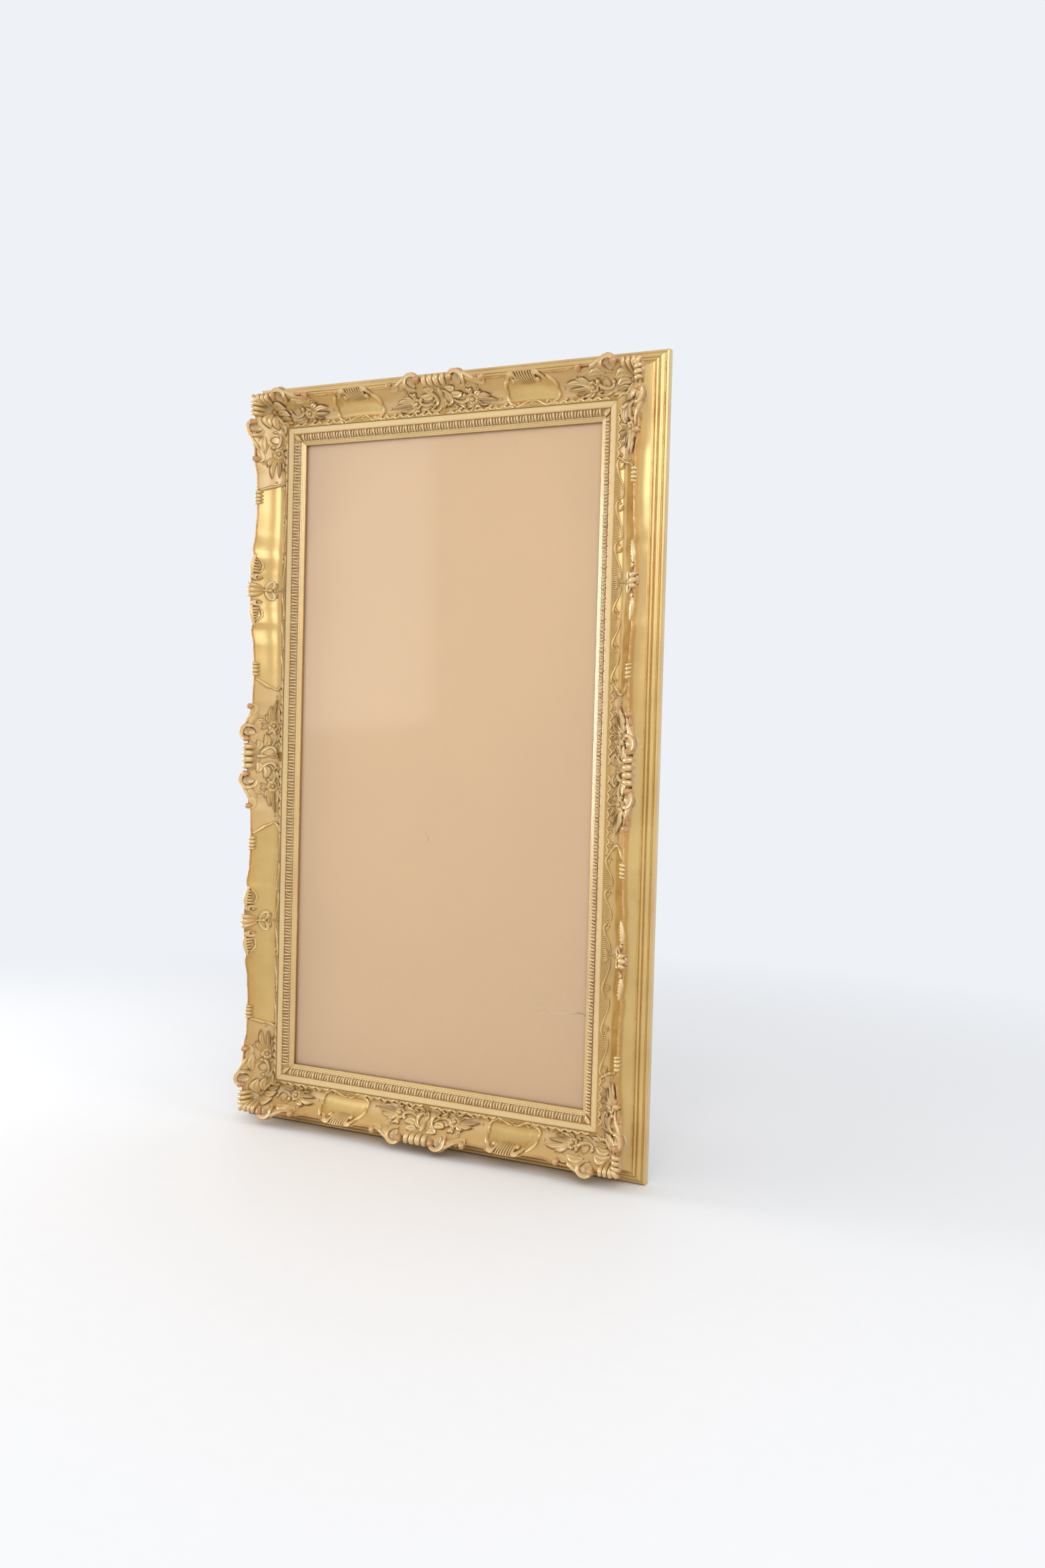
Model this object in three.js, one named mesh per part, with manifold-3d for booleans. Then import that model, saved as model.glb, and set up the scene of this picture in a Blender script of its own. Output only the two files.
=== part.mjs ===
// Gilded swept frame: four mitred rails with an undulating crest, a reeded back moulding, a leaf-tip
// sight slip, applied corner, centre and clasp ornaments, a glazed panel, and the fittings of its back.
// Millimetres, +Z up, the front faces -Y. The origin is the middle of the edge that the frame stands on.
import * as THREE from 'three';
import { mergeVertices } from 'three/addons/utils/BufferGeometryUtils.js';
import Module from 'manifold-3d';

const wasm = await Module();
wasm.setup();

// Offsets run outwards from the sight edge and heights forward from the wall plane.
const SIGHT_WIDTH = 700;
const SIGHT_HEIGHT = 1340;
const FIT_GAP = 0.3;

// Sight slip, from the sight edge outwards: lip, leaf-tip band, groove, flat
const SIGHT_EDGE_HEIGHT = 29;
const LIP_THICKNESS = 4.7;
const LIP_WIDTH = 9.5;
const LIP_RISE = 4;
const LEAF_BAND_WIDTH = 12.5;
const LEAF_BAND_RISE = 8;
const LEAF_BAND_STEPS = 4;
const BAND_GROOVE_WIDTH = 1.2;
const BAND_GROOVE_DEPTH = 1;
const FLAT_WIDTH = 12.8;
const FLAT_RISE = 2;
const REBATE_WIDTH = 8;

// Glazing, from the lip backwards
const GLASS_THICKNESS = 3;
const PANEL_THICKNESS = 1.5;
const BOARD_THICKNESS = 3.2;

// Swept rail: a hollow that dips beside the slip and rises to the crest, and a cove behind the crest
const TOE_STEP = 1.5;
const HOLLOW_WIDTH = 62.2;
const HOLLOW_STEPS = 8;
const HOLLOW_DIP = 11.5;
const HOLLOW_LOW_SHARE = 0.3;
const HOLLOW_INNER_POWER = 1.6;
const HOLLOW_OUTER_POWER = 1.9;
const CREST_RISE = 48.7;
const CREST_THICKNESS = 3.6;
const CREST_ROUND = 1.2;
const COVE_FLARE = 5.5;
const COVE_DEPTH = 6;
const COVE_STEPS = 4;
const INNER_LEG_WIDTH = 40;
const SWEEP_DEPTH = 9;
const SWEEP_FALL_SHARE = 0.7;
const SWEEP_STEPS = 4;

// Back rail: fillet, two beads on a slope, and the flat edge that the frame stands on
const BACK_RAIL_HEIGHT = 32;
const FILLET_WIDTH = 5;
const FILLET_DROP = 2;
const BEAD_SLOPE_WIDTH = 21.5;
const BEAD_COUNT = 2;
const BEAD_RISE = 2.2;
const BEAD_STEPS = 4;
const FOOT_HEIGHT = 14;
const FOOT_ROUND = 2;

// Ornament: reach along the rails, and how the castings stand up from the rail
const CORNER_REACH = 190;
const CENTRE_REACH = 140;
const PATCH_STEPS = 6;
const PATCH_ROOT = 3;
const PATCH_EDGE = 0.5;
const SLOPE_REACH = 0.01;
const CUT_OVERRUN = 1;
const SCROLL_SIDES = 5;
const SCROLL_STEPS = 8;
const SCROLL_RUN_DIP = 0.5;
const CURL_CLOSING = 0.62;
const CURL_INSET = 0.35;
const LOBE_SIDES = 5;
const LOBE_RINGS = 4;
const FAN_HOLLOW_REACH = 0.86;
const FAN_HOLLOW_LIFT = 0.55;
const FAN_EDGE_LIFT = 0.3;
const FAN_CROWN_SHARE = 0.65;
const FAN_UNDERSIDE = 3.5;

// Back fittings
const BUTTON_LENGTH = 38;
const BUTTON_WIDTH = 12;
const BUTTON_THICKNESS = 2;
const BUTTON_SETBACK = 10.7;
const BUTTON_SPACING = 620;
const BUTTON_SCREW_RADIUS = 2;
const BUTTON_SCREW_LENGTH = 15;
const SCREW_HEAD_RADIUS = 3.4;
const SCREW_HEAD_HEIGHT = 1.7;
const SCREW_SIDES = 8;
const ARC_STEPS = 3;
const STRAP_WIDTH = 12;
const STRAP_THICKNESS = 1.2;
const STRAP_INSET = 230;
const STRAP_SCREW_RADIUS = 1.6;
const STRAP_SCREW_LENGTH = 13;
const STRAP_SCREW_PITCH = 13;
const RING_WIRE_RADIUS = 1.3;
const RING_WIDTH = 19;
const RING_LENGTH = 25;
const RING_CLEARANCE = 2.8;
const RING_SIDES = 6;
const RING_ARC_STEPS = 10;
const RING_CORNER_LIMIT = 0.5;
const ASSEMBLY_SCREW_RADIUS = 2.2;
const ASSEMBLY_SCREW_BITE = 16;
const ASSEMBLY_SCREW_INSET = 130;
const COUNTERSINK_RADIUS = 4.6;
const COUNTERSINK_DEPTH = 3;
const KEY_LENGTH = 34;
const KEY_END_WIDTH = 16;
const KEY_WAIST_WIDTH = 8;
const KEY_DEPTH = 6;

// Places that follow from the sizes
const slipWidth = LIP_WIDTH + LEAF_BAND_WIDTH + BAND_GROOVE_WIDTH + FLAT_WIDTH;
const lipBack = SIGHT_EDGE_HEIGHT - LIP_THICKNESS;
const lipTop = SIGHT_EDGE_HEIGHT + LIP_RISE;
const bandTop = lipTop + LEAF_BAND_RISE;
const flatTop = bandTop + FLAT_RISE;
const rebateWall = REBATE_WIDTH + FIT_GAP;
const glassFront = lipBack - FIT_GAP;
const panelFront = glassFront - GLASS_THICKNESS - FIT_GAP;
const boardFront = panelFront - PANEL_THICKNESS - FIT_GAP;
const innerBack = boardFront - BOARD_THICKNESS - FIT_GAP;
const toeOffset = slipWidth + FIT_GAP;
const toeHeight = flatTop + TOE_STEP;
const hollowFloor = toeHeight - HOLLOW_DIP;
const crestOffset = toeOffset + HOLLOW_WIDTH;
const railSeat = BACK_RAIL_HEIGHT + FIT_GAP;
const crestHeight = railSeat + CREST_RISE;
const coveFoot = crestOffset + COVE_FLARE;
const legOuter = toeOffset + INNER_LEG_WIDTH;
const backRailInner = legOuter + FIT_GAP;
const beadStart = coveFoot + FILLET_WIDTH;
const frameOuter = beadStart + BEAD_SLOPE_WIDTH;
const mitreGap = FIT_GAP / Math.SQRT2;
const footMiddle = (FOOT_HEIGHT + FOOT_ROUND) / 2;
const frameMiddle = SIGHT_HEIGHT / 2 + frameOuter;
const cornerReach = CORNER_REACH - crestOffset;
const fittingBack = innerBack - FIT_GAP;
const buttonOffset = rebateWall + BUTTON_SETBACK;
const keyOffset = (backRailInner + frameOuter) / 2;
const assemblyScrewOffset = (backRailInner + coveFoot) / 2;
const assemblyScrewLength = BACK_RAIL_HEIGHT + ASSEMBLY_SCREW_BITE;
const knuckleBore = RING_WIRE_RADIUS + FIT_GAP;
const knuckleRadius = knuckleBore + STRAP_THICKNESS;
const knuckleHeight = fittingBack - knuckleRadius;
const strapOffset = backRailInner - RING_WIDTH / 2 - RING_CLEARANCE;
const firstStrapScrew = RING_LENGTH + RING_CLEARANCE + SCREW_HEAD_RADIUS;
const strapScrewDistances = [firstStrapScrew, firstStrapScrew + STRAP_SCREW_PITCH];
const strapLength = strapScrewDistances.at(-1) + STRAP_WIDTH / 2;
const strapAboveCentre = SIGHT_HEIGHT / 2 - STRAP_INSET;

const mix = (from, to, share) => from + (to - from) * share;
const steps = (count) => Array.from({ length: count + 1 }, (_, i) => i / count);

// A closed mesh from points and triangles, turned so that its faces point out
function closedGeometry(points, faces) {
  let volume = 0;
  const edge = new THREE.Vector3();
  for (let i = 0; i < faces.length; i += 3) {
    edge.crossVectors(points[faces[i + 1]], points[faces[i + 2]]);
    volume += points[faces[i]].dot(edge);
  }
  const index = volume > 0 ? faces : faces.toReversed();
  return new THREE.BufferGeometry().setFromPoints(points).setIndex(index);
}

// The triangles between matching rings of points, and across the two end rings
function ringFaces(ringCount, ringSize, capFaces) {
  const faces = [];
  for (let r = 0; r + 1 < ringCount; r += 1) {
    for (let i = 0; i < ringSize; i += 1) {
      const next = (i + 1) % ringSize;
      const [a, b] = [r * ringSize + i, r * ringSize + next];
      const [c, d] = [a + ringSize, b + ringSize];
      faces.push(a, b, d, a, d, c);
    }
  }
  const last = (ringCount - 1) * ringSize;
  for (const [a, b, c] of capFaces) {
    faces.push(c, b, a, last + a, last + b, last + c);
  }
  return faces;
}

// A closed solid through matching rings of [along, offset, height], set in space by place
function loft(rings, place) {
  const outline = rings[0].map(([, offset, height]) => new THREE.Vector2(offset, height));
  const turned = THREE.ShapeUtils.isClockWise(outline) ? rings.map((ring) => ring.toReversed()) : rings;
  const contour = turned[0].map(([, offset, height]) => new THREE.Vector2(offset, height));
  const capFaces = THREE.ShapeUtils.triangulateShape(contour, []);
  const points = turned.flat().map((point) => place(...point));
  return closedGeometry(points, ringFaces(turned.length, contour.length, capFaces));
}

// A round bar along a curve, whose radius goes from one end's to the other's
function taperedBar(curve, startRadius, endRadius) {
  const frames = curve.computeFrenetFrames(SCROLL_STEPS, false);
  const points = [];
  steps(SCROLL_STEPS).forEach((share, r) => {
    const centre = curve.getPointAt(share);
    const radius = mix(startRadius, endRadius, share);
    for (let i = 0; i < SCROLL_SIDES; i += 1) {
      const turn = (2 * Math.PI * i) / SCROLL_SIDES;
      const point = centre.clone();
      point.addScaledVector(frames.normals[r], radius * Math.cos(turn));
      point.addScaledVector(frames.binormals[r], radius * Math.sin(turn));
      points.push(point);
    }
  });
  const capFaces = Array.from({ length: SCROLL_SIDES - 2 }, (_, i) => [0, i + 1, i + 2]);
  return closedGeometry(points, ringFaces(SCROLL_STEPS + 1, SCROLL_SIDES, capFaces));
}

// Joins and cuts
function solid(geometry) {
  const merged = mergeVertices(plainPositions(geometry));
  return new wasm.Manifold(new wasm.Mesh({
    numProp: 3,
    vertProperties: new Float32Array(merged.attributes.position.array),
    triVerts: new Uint32Array(merged.index.array),
  }));
}

function plainPositions(geometry) {
  const plain = geometry.clone();
  plain.deleteAttribute('normal');
  plain.deleteAttribute('uv');
  return plain;
}

function geometryOf(body) {
  const mesh = body.getMesh();
  const geometry = new THREE.BufferGeometry();
  geometry.setAttribute('position', new THREE.BufferAttribute(new Float32Array(mesh.vertProperties), 3));
  geometry.setIndex(new THREE.BufferAttribute(new Uint32Array(mesh.triVerts), 1));
  return geometry;
}

const joined = (geometries) => geometries.map(solid).reduce((sum, body) => sum.add(body));

// A casting is solid right through, so a void closed in between its lobes is filled
function filled(body) {
  const shells = body.decompose().filter((shell) => shell.volume() > 0);
  return shells.reduce((sum, shell) => sum.add(shell));
}

const cutAway = (body, geometries) => geometries.map(solid).reduce((rest, tool) => rest.subtract(tool), body);

// Profiles, as rings of [offset, height]
function slipProfile() {
  const bandEnd = LIP_WIDTH + LEAF_BAND_WIDTH;
  const band = steps(LEAF_BAND_STEPS).map((share) => {
    const turn = (share * Math.PI) / 2;
    return [bandEnd - LEAF_BAND_WIDTH * Math.cos(turn), lipTop + LEAF_BAND_RISE * Math.sin(turn)];
  });
  return [
    [0, lipBack],
    [0, SIGHT_EDGE_HEIGHT],
    ...band,
    [bandEnd, bandTop - BAND_GROOVE_DEPTH],
    [bandEnd + BAND_GROOVE_WIDTH, bandTop - BAND_GROOVE_DEPTH],
    [bandEnd + BAND_GROOVE_WIDTH, bandTop],
    [slipWidth, flatTop],
    [slipWidth, innerBack],
    [rebateWall, innerBack],
    [rebateWall, lipBack],
  ];
}

// A point on the hollow, from the toe at 0 to the crest at 1; drop is how far the crest sweeps in
function hollowPoint(share, drop) {
  const offset = mix(toeOffset, crestOffset - drop, share);
  const rise = crestHeight - SWEEP_FALL_SHARE * drop - hollowFloor;
  const inwards = Math.max(1 - share / HOLLOW_LOW_SHARE, 0) ** HOLLOW_INNER_POWER;
  const outwards = Math.max((share - HOLLOW_LOW_SHARE) / (1 - HOLLOW_LOW_SHARE), 0) ** HOLLOW_OUTER_POWER;
  return [offset, hollowFloor + HOLLOW_DIP * inwards + rise * outwards];
}

// The same point lifted square to the surface
function liftedPoint(share, drop, lift) {
  const [offset, height] = hollowPoint(share, drop);
  const [before, after] = [hollowPoint(share - SLOPE_REACH, drop), hollowPoint(share + SLOPE_REACH, drop)];
  const normal = new THREE.Vector2(before[1] - after[1], after[0] - before[0]).normalize();
  return [offset + lift * normal.x, height + lift * normal.y];
}

function sweptProfile(drop) {
  const hollow = steps(HOLLOW_STEPS).map((share) => hollowPoint(share, drop));
  const [innerCrest, crestTop] = hollow.at(-1);
  const outerCrest = innerCrest + CREST_THICKNESS;
  const coveTop = crestTop - CREST_ROUND;
  const cove = steps(COVE_STEPS).map((share) => [
    mix(outerCrest, coveFoot, share) - COVE_DEPTH * Math.sin(Math.PI * share),
    mix(coveTop, railSeat, share),
  ]);
  return [
    [toeOffset, innerBack],
    ...hollow,
    [mix(innerCrest, outerCrest, 0.5), crestTop + CREST_ROUND],
    ...cove,
    [legOuter, railSeat],
    [legOuter, innerBack],
  ];
}

function backProfile() {
  const start = new THREE.Vector2(beadStart, BACK_RAIL_HEIGHT - FILLET_DROP);
  const end = new THREE.Vector2(frameOuter, FOOT_HEIGHT);
  const outwards = new THREE.Vector2(start.y - end.y, end.x - start.x).normalize();
  const beads = [];
  for (let bead = 0; bead < BEAD_COUNT; bead += 1) {
    for (const share of steps(BEAD_STEPS)) {
      if (bead > 0 && share === 0) {
        continue;
      }
      const point = start.clone().lerp(end, (bead + share) / BEAD_COUNT);
      point.addScaledVector(outwards, BEAD_RISE * Math.sin(Math.PI * share));
      beads.push([point.x, point.y]);
    }
  }
  return [
    [backRailInner, 0],
    [backRailInner, BACK_RAIL_HEIGHT],
    [beadStart, BACK_RAIL_HEIGHT],
    ...beads,
    [frameOuter, FOOT_ROUND],
    [frameOuter - FOOT_ROUND, 0],
  ];
}

// A ring moved outwards all round, used to keep castings clear of the rail that they sit on
function grownRing(ring, grow) {
  const points = ring.map((point) => new THREE.Vector2(...point));
  const side = THREE.ShapeUtils.isClockWise(points) ? -grow : grow;
  return points.map((point, i) => {
    const before = points.at(i - 1);
    const after = points[(i + 1) % points.length];
    const first = new THREE.Vector2(point.y - before.y, before.x - point.x).normalize();
    const second = new THREE.Vector2(after.y - point.y, point.x - after.x).normalize();
    const middle = first.clone().add(second).normalize();
    point.addScaledVector(middle, side / middle.dot(first));
    return [point.x, point.y];
  });
}

// How far the crest sweeps in at a place along a rail, with a cusp midway between the ornaments
function crestSweep(length) {
  const panelEnd = length / 2 + crestOffset - CORNER_REACH;
  const cusp = (CENTRE_REACH + panelEnd) / 2;
  const drop = (along) => {
    const place = Math.abs(along);
    if (place <= CENTRE_REACH || place >= panelEnd) {
      return 0;
    }
    const share = place < cusp
      ? (place - CENTRE_REACH) / (cusp - CENTRE_REACH)
      : (place - cusp) / (panelEnd - cusp);
    return SWEEP_DEPTH * Math.sin(Math.PI * share);
  };
  const half = [
    ...steps(SWEEP_STEPS).map((share) => mix(CENTRE_REACH, cusp, share)),
    ...steps(SWEEP_STEPS).slice(1).map((share) => mix(cusp, panelEnd, share)),
  ];
  return { cusp, drop, stations: [...half.toReversed().map((place) => -place), ...half] };
}

// Each side is made as the top side is: along X, outwards +Z, forward -Y, from the middle of its sight edge
const onSide = (along, offset, height) => new THREE.Vector3(along, -height, offset);

function mitredRail(length, profileAt, stations, endGap) {
  const crestHalf = length / 2 + crestOffset;
  const shares = [-1, ...stations.map((along) => along / crestHalf), 1];
  const rings = shares.map((share) => profileAt(share * crestHalf).map(([offset, height]) => {
    return [share * (length / 2 + offset - endGap), offset, height];
  }));
  return loft(rings, onSide);
}

const sweptRail = (length, sweep) => mitredRail(length, (along) => sweptProfile(sweep.drop(along)),
  sweep.stations, mitreGap);
const railSeatShape = (length, sweep) => mitredRail(length,
  (along) => grownRing(sweptProfile(sweep.drop(along)), FIT_GAP), sweep.stations, -CUT_OVERRUN);

// A turned piece about Y, from [radius, height] points that start and end on its axis
function turned(profile, place) {
  const outline = profile.map(([radius, height]) => new THREE.Vector2(radius, height));
  const geometry = new THREE.LatheGeometry(outline, SCREW_SIDES);
  geometry.rotateX(Math.PI);
  return geometry.translate(place.x, place.y, place.z);
}

// A screw whose head lies behind the surface at the given height, and the hole that it needs
function panScrew(place, headFront, radius, length) {
  return turned([
    [0, headFront - SCREW_HEAD_HEIGHT],
    [SCREW_HEAD_RADIUS, headFront - SCREW_HEAD_HEIGHT / 2],
    [SCREW_HEAD_RADIUS, headFront],
    [radius, headFront],
    [0, headFront + length],
  ], place);
}

function countersunkScrew(place, grow) {
  const headBack = grow > 0 ? -CUT_OVERRUN : FIT_GAP / 2;
  return turned([
    [0, headBack],
    [COUNTERSINK_RADIUS + grow, headBack],
    [COUNTERSINK_RADIUS + grow, FIT_GAP],
    [ASSEMBLY_SCREW_RADIUS + grow, FIT_GAP + COUNTERSINK_DEPTH],
    [ASSEMBLY_SCREW_RADIUS + grow, assemblyScrewLength - ASSEMBLY_SCREW_RADIUS + grow],
    [0, assemblyScrewLength + grow],
  ], place);
}

function screwHole(place, from, radius, depth) {
  return turned([
    [0, from - FIT_GAP],
    [radius + FIT_GAP, from - FIT_GAP],
    [radius + FIT_GAP, from + depth],
    [0, from + depth],
  ], place);
}

// A flat plate in the plane of the back, from a shape drawn along X and outwards
function backPlate(shape, front, thickness) {
  const settings = { depth: thickness, bevelEnabled: false, curveSegments: ARC_STEPS };
  const geometry = new THREE.ExtrudeGeometry(shape, settings);
  return geometry.rotateX(Math.PI / 2).translate(0, thickness - front, 0);
}

function roundHole(x, y, radius) {
  const hole = new THREE.Path();
  hole.absarc(x, y, radius, 0, 2 * Math.PI, true);
  return hole;
}

function slotShape(length, width) {
  const shape = new THREE.Shape();
  const straight = length / 2 - width / 2;
  shape.absarc(straight, 0, width / 2, -Math.PI / 2, Math.PI / 2, false);
  shape.absarc(-straight, 0, width / 2, Math.PI / 2, (3 * Math.PI) / 2, false);
  return shape;
}

// Turn button: pointing to the board, swivelling about the screw near its outer end
function turnButton() {
  const shape = slotShape(BUTTON_LENGTH, BUTTON_WIDTH);
  const pivot = BUTTON_LENGTH / 2 - BUTTON_WIDTH / 2;
  shape.holes.push(roundHole(pivot, 0, BUTTON_SCREW_RADIUS + FIT_GAP));
  const geometry = backPlate(shape, fittingBack, BUTTON_THICKNESS);
  return geometry.translate(-pivot, 0, 0).rotateY(-Math.PI / 2).translate(0, 0, buttonOffset);
}

// Strap hanger: a plate along the rail with a knuckle at its upper end, which holds the ring
function knuckleBar(radius, length) {
  const bar = new THREE.CylinderGeometry(radius, radius, length, SCREW_SIDES);
  return bar.rotateX(Math.PI / 2).translate(0, -knuckleHeight, strapOffset);
}

function hangerStrap() {
  const shape = slotShape(strapLength, STRAP_WIDTH);
  for (const distance of strapScrewDistances) {
    shape.holes.push(roundHole(distance - strapLength / 2, 0, STRAP_SCREW_RADIUS + FIT_GAP));
  }
  const plate = backPlate(shape, fittingBack, STRAP_THICKNESS).translate(strapLength / 2, 0, strapOffset);
  return cutAway(joined([plate, knuckleBar(knuckleRadius, STRAP_WIDTH)]), [
    knuckleBar(knuckleBore, STRAP_WIDTH + RING_WIDTH),
  ]);
}

// Ring: a straight bar through the knuckle, two legs and a round bow, as one closed loop of wire
function hangerRing() {
  const half = RING_WIDTH / 2 - RING_WIRE_RADIUS;
  const bowCentre = RING_LENGTH - RING_WIRE_RADIUS - half;
  const route = [new THREE.Vector2(0, -half), ...steps(RING_ARC_STEPS).map((share) => {
    const turn = Math.PI * (share - 0.5);
    return new THREE.Vector2(bowCentre + half * Math.cos(turn), half * Math.sin(turn));
  }), new THREE.Vector2(0, half)];
  const middle = new THREE.Vector2(bowCentre / 2, 0);
  const points = [];
  route.forEach((corner, r) => {
    const before = route.at(r - 1);
    const after = route[(r + 1) % route.length];
    const into = corner.clone().sub(before).normalize();
    const out = after.clone().sub(corner).normalize();
    const across = into.clone().add(out).normalize();
    const normal = new THREE.Vector2(across.y, -across.x);
    const stretch = 1 / Math.max(across.dot(into), RING_CORNER_LIMIT);
    const outward = normal.dot(corner.clone().sub(middle)) < 0 ? -1 : 1;
    for (let i = 0; i < RING_SIDES; i += 1) {
      const turn = (2 * Math.PI * i) / RING_SIDES;
      const inPlane = corner.clone();
      inPlane.addScaledVector(normal, outward * stretch * RING_WIRE_RADIUS * Math.cos(turn));
      const height = knuckleHeight + RING_WIRE_RADIUS * Math.sin(turn);
      points.push(onSide(inPlane.x, strapOffset + inPlane.y, height));
    }
  });
  const faces = ringFaces(route.length, RING_SIDES, []);
  const last = (route.length - 1) * RING_SIDES;
  for (let i = 0; i < RING_SIDES; i += 1) {
    const next = (i + 1) % RING_SIDES;
    faces.push(last + i, last + next, next, last + i, next, i);
  }
  return closedGeometry(points, faces);
}

// Dovetail key across a mitre, let into the back; its pocket is grown and runs out of the back face
function mitreKey(grow, turn) {
  const half = KEY_LENGTH / 2 + grow;
  const end = KEY_END_WIDTH / 2 + grow;
  const waist = KEY_WAIST_WIDTH / 2 + grow;
  const corners = [[-half, -end], [0, -waist], [half, -end], [half, end], [0, waist], [-half, end]];
  const shape = new THREE.Shape(corners.map((corner) => new THREE.Vector2(...corner)));
  const front = KEY_DEPTH + FIT_GAP + grow;
  const depth = grow > 0 ? front + CUT_OVERRUN : KEY_DEPTH;
  return backPlate(shape, front, depth).rotateY(turn);
}

// Castings: each stands on a leg, which maps a place along the rail and on its hollow to space
const sideLeg = (sweep) => ({
  place: onSide,
  drop: sweep.drop,
});
const cornerLegs = [
  { place: (along, offset, height) => new THREE.Vector3(-along, -height, offset), drop: () => 0 },
  { place: (along, offset, height) => new THREE.Vector3(offset, -height, -along), drop: () => 0 },
];

// A low swelling patch of ornament over part of the hollow
function reliefPatch(leg, stations) {
  const rings = stations.map(({ along, from, to, rise }) => {
    const under = [];
    const over = [];
    for (const share of steps(PATCH_STEPS)) {
      const across = mix(from, to, share);
      const low = liftedPoint(across, 0, -PATCH_ROOT);
      const place = along(low[0]);
      const drop = leg.drop(place);
      const lift = FIT_GAP + PATCH_EDGE + rise * Math.sin(Math.PI * share);
      under.push([place, ...liftedPoint(across, drop, -PATCH_ROOT)]);
      over.unshift([place, ...liftedPoint(across, drop, lift)]);
    }
    return [...under, ...over];
  });
  return loft(rings, leg.place);
}

// A leaf, rib or bud: a drawn-out ball between two places [along, share of hollow, lift]
function surfacePlace(leg, [along, share, lift]) {
  return leg.place(along, ...liftedPoint(share, leg.drop(along), lift));
}

function lobeBetween(base, tip, width, thickness) {
  const ball = new THREE.SphereGeometry(1, LOBE_SIDES, LOBE_RINGS);
  const lengthways = tip.clone().sub(base);
  const half = lengthways.length() / 2;
  lengthways.normalize();
  const sideways = new THREE.Vector3(0, -1, 0).cross(lengthways).normalize();
  const outwards = sideways.clone().cross(lengthways);
  const basis = new THREE.Matrix4().makeBasis(
    sideways.multiplyScalar(width / 2),
    lengthways.multiplyScalar(half),
    outwards.multiplyScalar(thickness / 2),
  );
  return ball.applyMatrix4(basis.setPosition(base.clone().lerp(tip, 0.5)));
}

const leaf = (leg, base, tip, width, thickness) =>
  lobeBetween(surfacePlace(leg, base), surfacePlace(leg, tip), width, thickness);

// A thick leaf that climbs out of the hollow and over the crest, and carries a shell or a scroll
function crestLeaf(leg, along, { from, lift, beyond, rise, width, thickness }) {
  const tip = leg.place(along, crestOffset + beyond, crestHeight + rise);
  return lobeBetween(surfacePlace(leg, [along, from, lift]), tip, width, thickness);
}

// A scroll on the crest: a run along it that ends in a curl
function crestScroll(leg, { start, end, curl, turns, lift, startRadius, endRadius }) {
  const direction = Math.sign(end - start);
  const centre = [end, crestOffset - curl * CURL_INSET];
  const points = steps(SCROLL_STEPS / 2).slice(0, -1).map((share) => [
    mix(start, end, share),
    crestOffset - curl * (1 - share) * SCROLL_RUN_DIP,
  ]);
  for (const share of steps(SCROLL_STEPS)) {
    const turn = 2 * Math.PI * turns * share;
    const radius = curl * (1 - share * CURL_CLOSING);
    points.push([centre[0] + direction * radius * Math.sin(turn), centre[1] + radius * Math.cos(turn)]);
  }
  const curve = new THREE.CatmullRomCurve3(points.map(([along, offset], i) => {
    const height = crestHeight + lift * Math.sin((Math.PI * i) / (points.length - 1));
    return leg.place(along, offset - leg.drop(along), height - SWEEP_FALL_SHARE * leg.drop(along));
  }));
  return taperedBar(curve, startRadius, endRadius);
}

// A ribbed shell on the crest, spread about the way that it points, with a hollow between each two ribs
function crestFan(place, { ribs, spread, inner, outer, thickness }) {
  const stations = steps(2 * ribs);
  const points = stations.flatMap((share, i) => {
    const onRib = i % 2 === 1;
    const turn = spread * (2 * share - 1);
    const reach = onRib ? outer : outer * FAN_HOLLOW_REACH;
    const top = onRib ? thickness / 2 : (thickness / 2) * FAN_HOLLOW_LIFT;
    const section = [
      [inner, -FAN_UNDERSIDE],
      [reach, -FAN_UNDERSIDE],
      [reach, top * FAN_EDGE_LIFT],
      [mix(inner, reach, FAN_CROWN_SHARE), top],
      [inner, top * FAN_CROWN_SHARE],
    ];
    return section.map(([radius, lift]) => place(radius * Math.sin(turn), radius * Math.cos(turn), lift));
  });
  const size = points.length / stations.length;
  const capFaces = Array.from({ length: size - 2 }, (_, i) => [0, i + 1, i + 2]);
  return closedGeometry(points, ringFaces(stations.length, size, capFaces));
}

const mirroredPair = [-1, 1];
const flipped = ([along, share, lift], hand) => [hand * along, share, lift];

// Corner ornament, about the sight corner of the top right corner
const CORNER_SCROLL_INSET = 19;
const CORNER_SCROLL_RUN = 62;
const CORNER_SCROLL = { curl: 15, turns: 1.2, lift: 4, startRadius: 6.5, endRadius: 3.5 };
const CORNER_FAN = { ribs: 7, spread: 1.9, inner: 4, outer: 27, thickness: 17 };
const CORNER_FAN_INSET = 15;
const CORNER_LEAVES = [
  { base: [-40, 0.7, 1], tip: [46, 0.46, 1], width: 22, thickness: 10 },
  { base: [4, 0.95, 2], tip: [66, 0.95, 1], width: 12, thickness: 9 },
];
const CORNER_RIDGE = { width: 0.09, rise: 8 };
const CORNER_SHELL_LEAF = { from: 0.72, lift: 5, beyond: 7, rise: 8, width: 44, thickness: 16 };
const SCROLL_LEAF = { from: 0.72, lift: 5, beyond: 7, rise: 8, width: 28, thickness: 16 };

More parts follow.
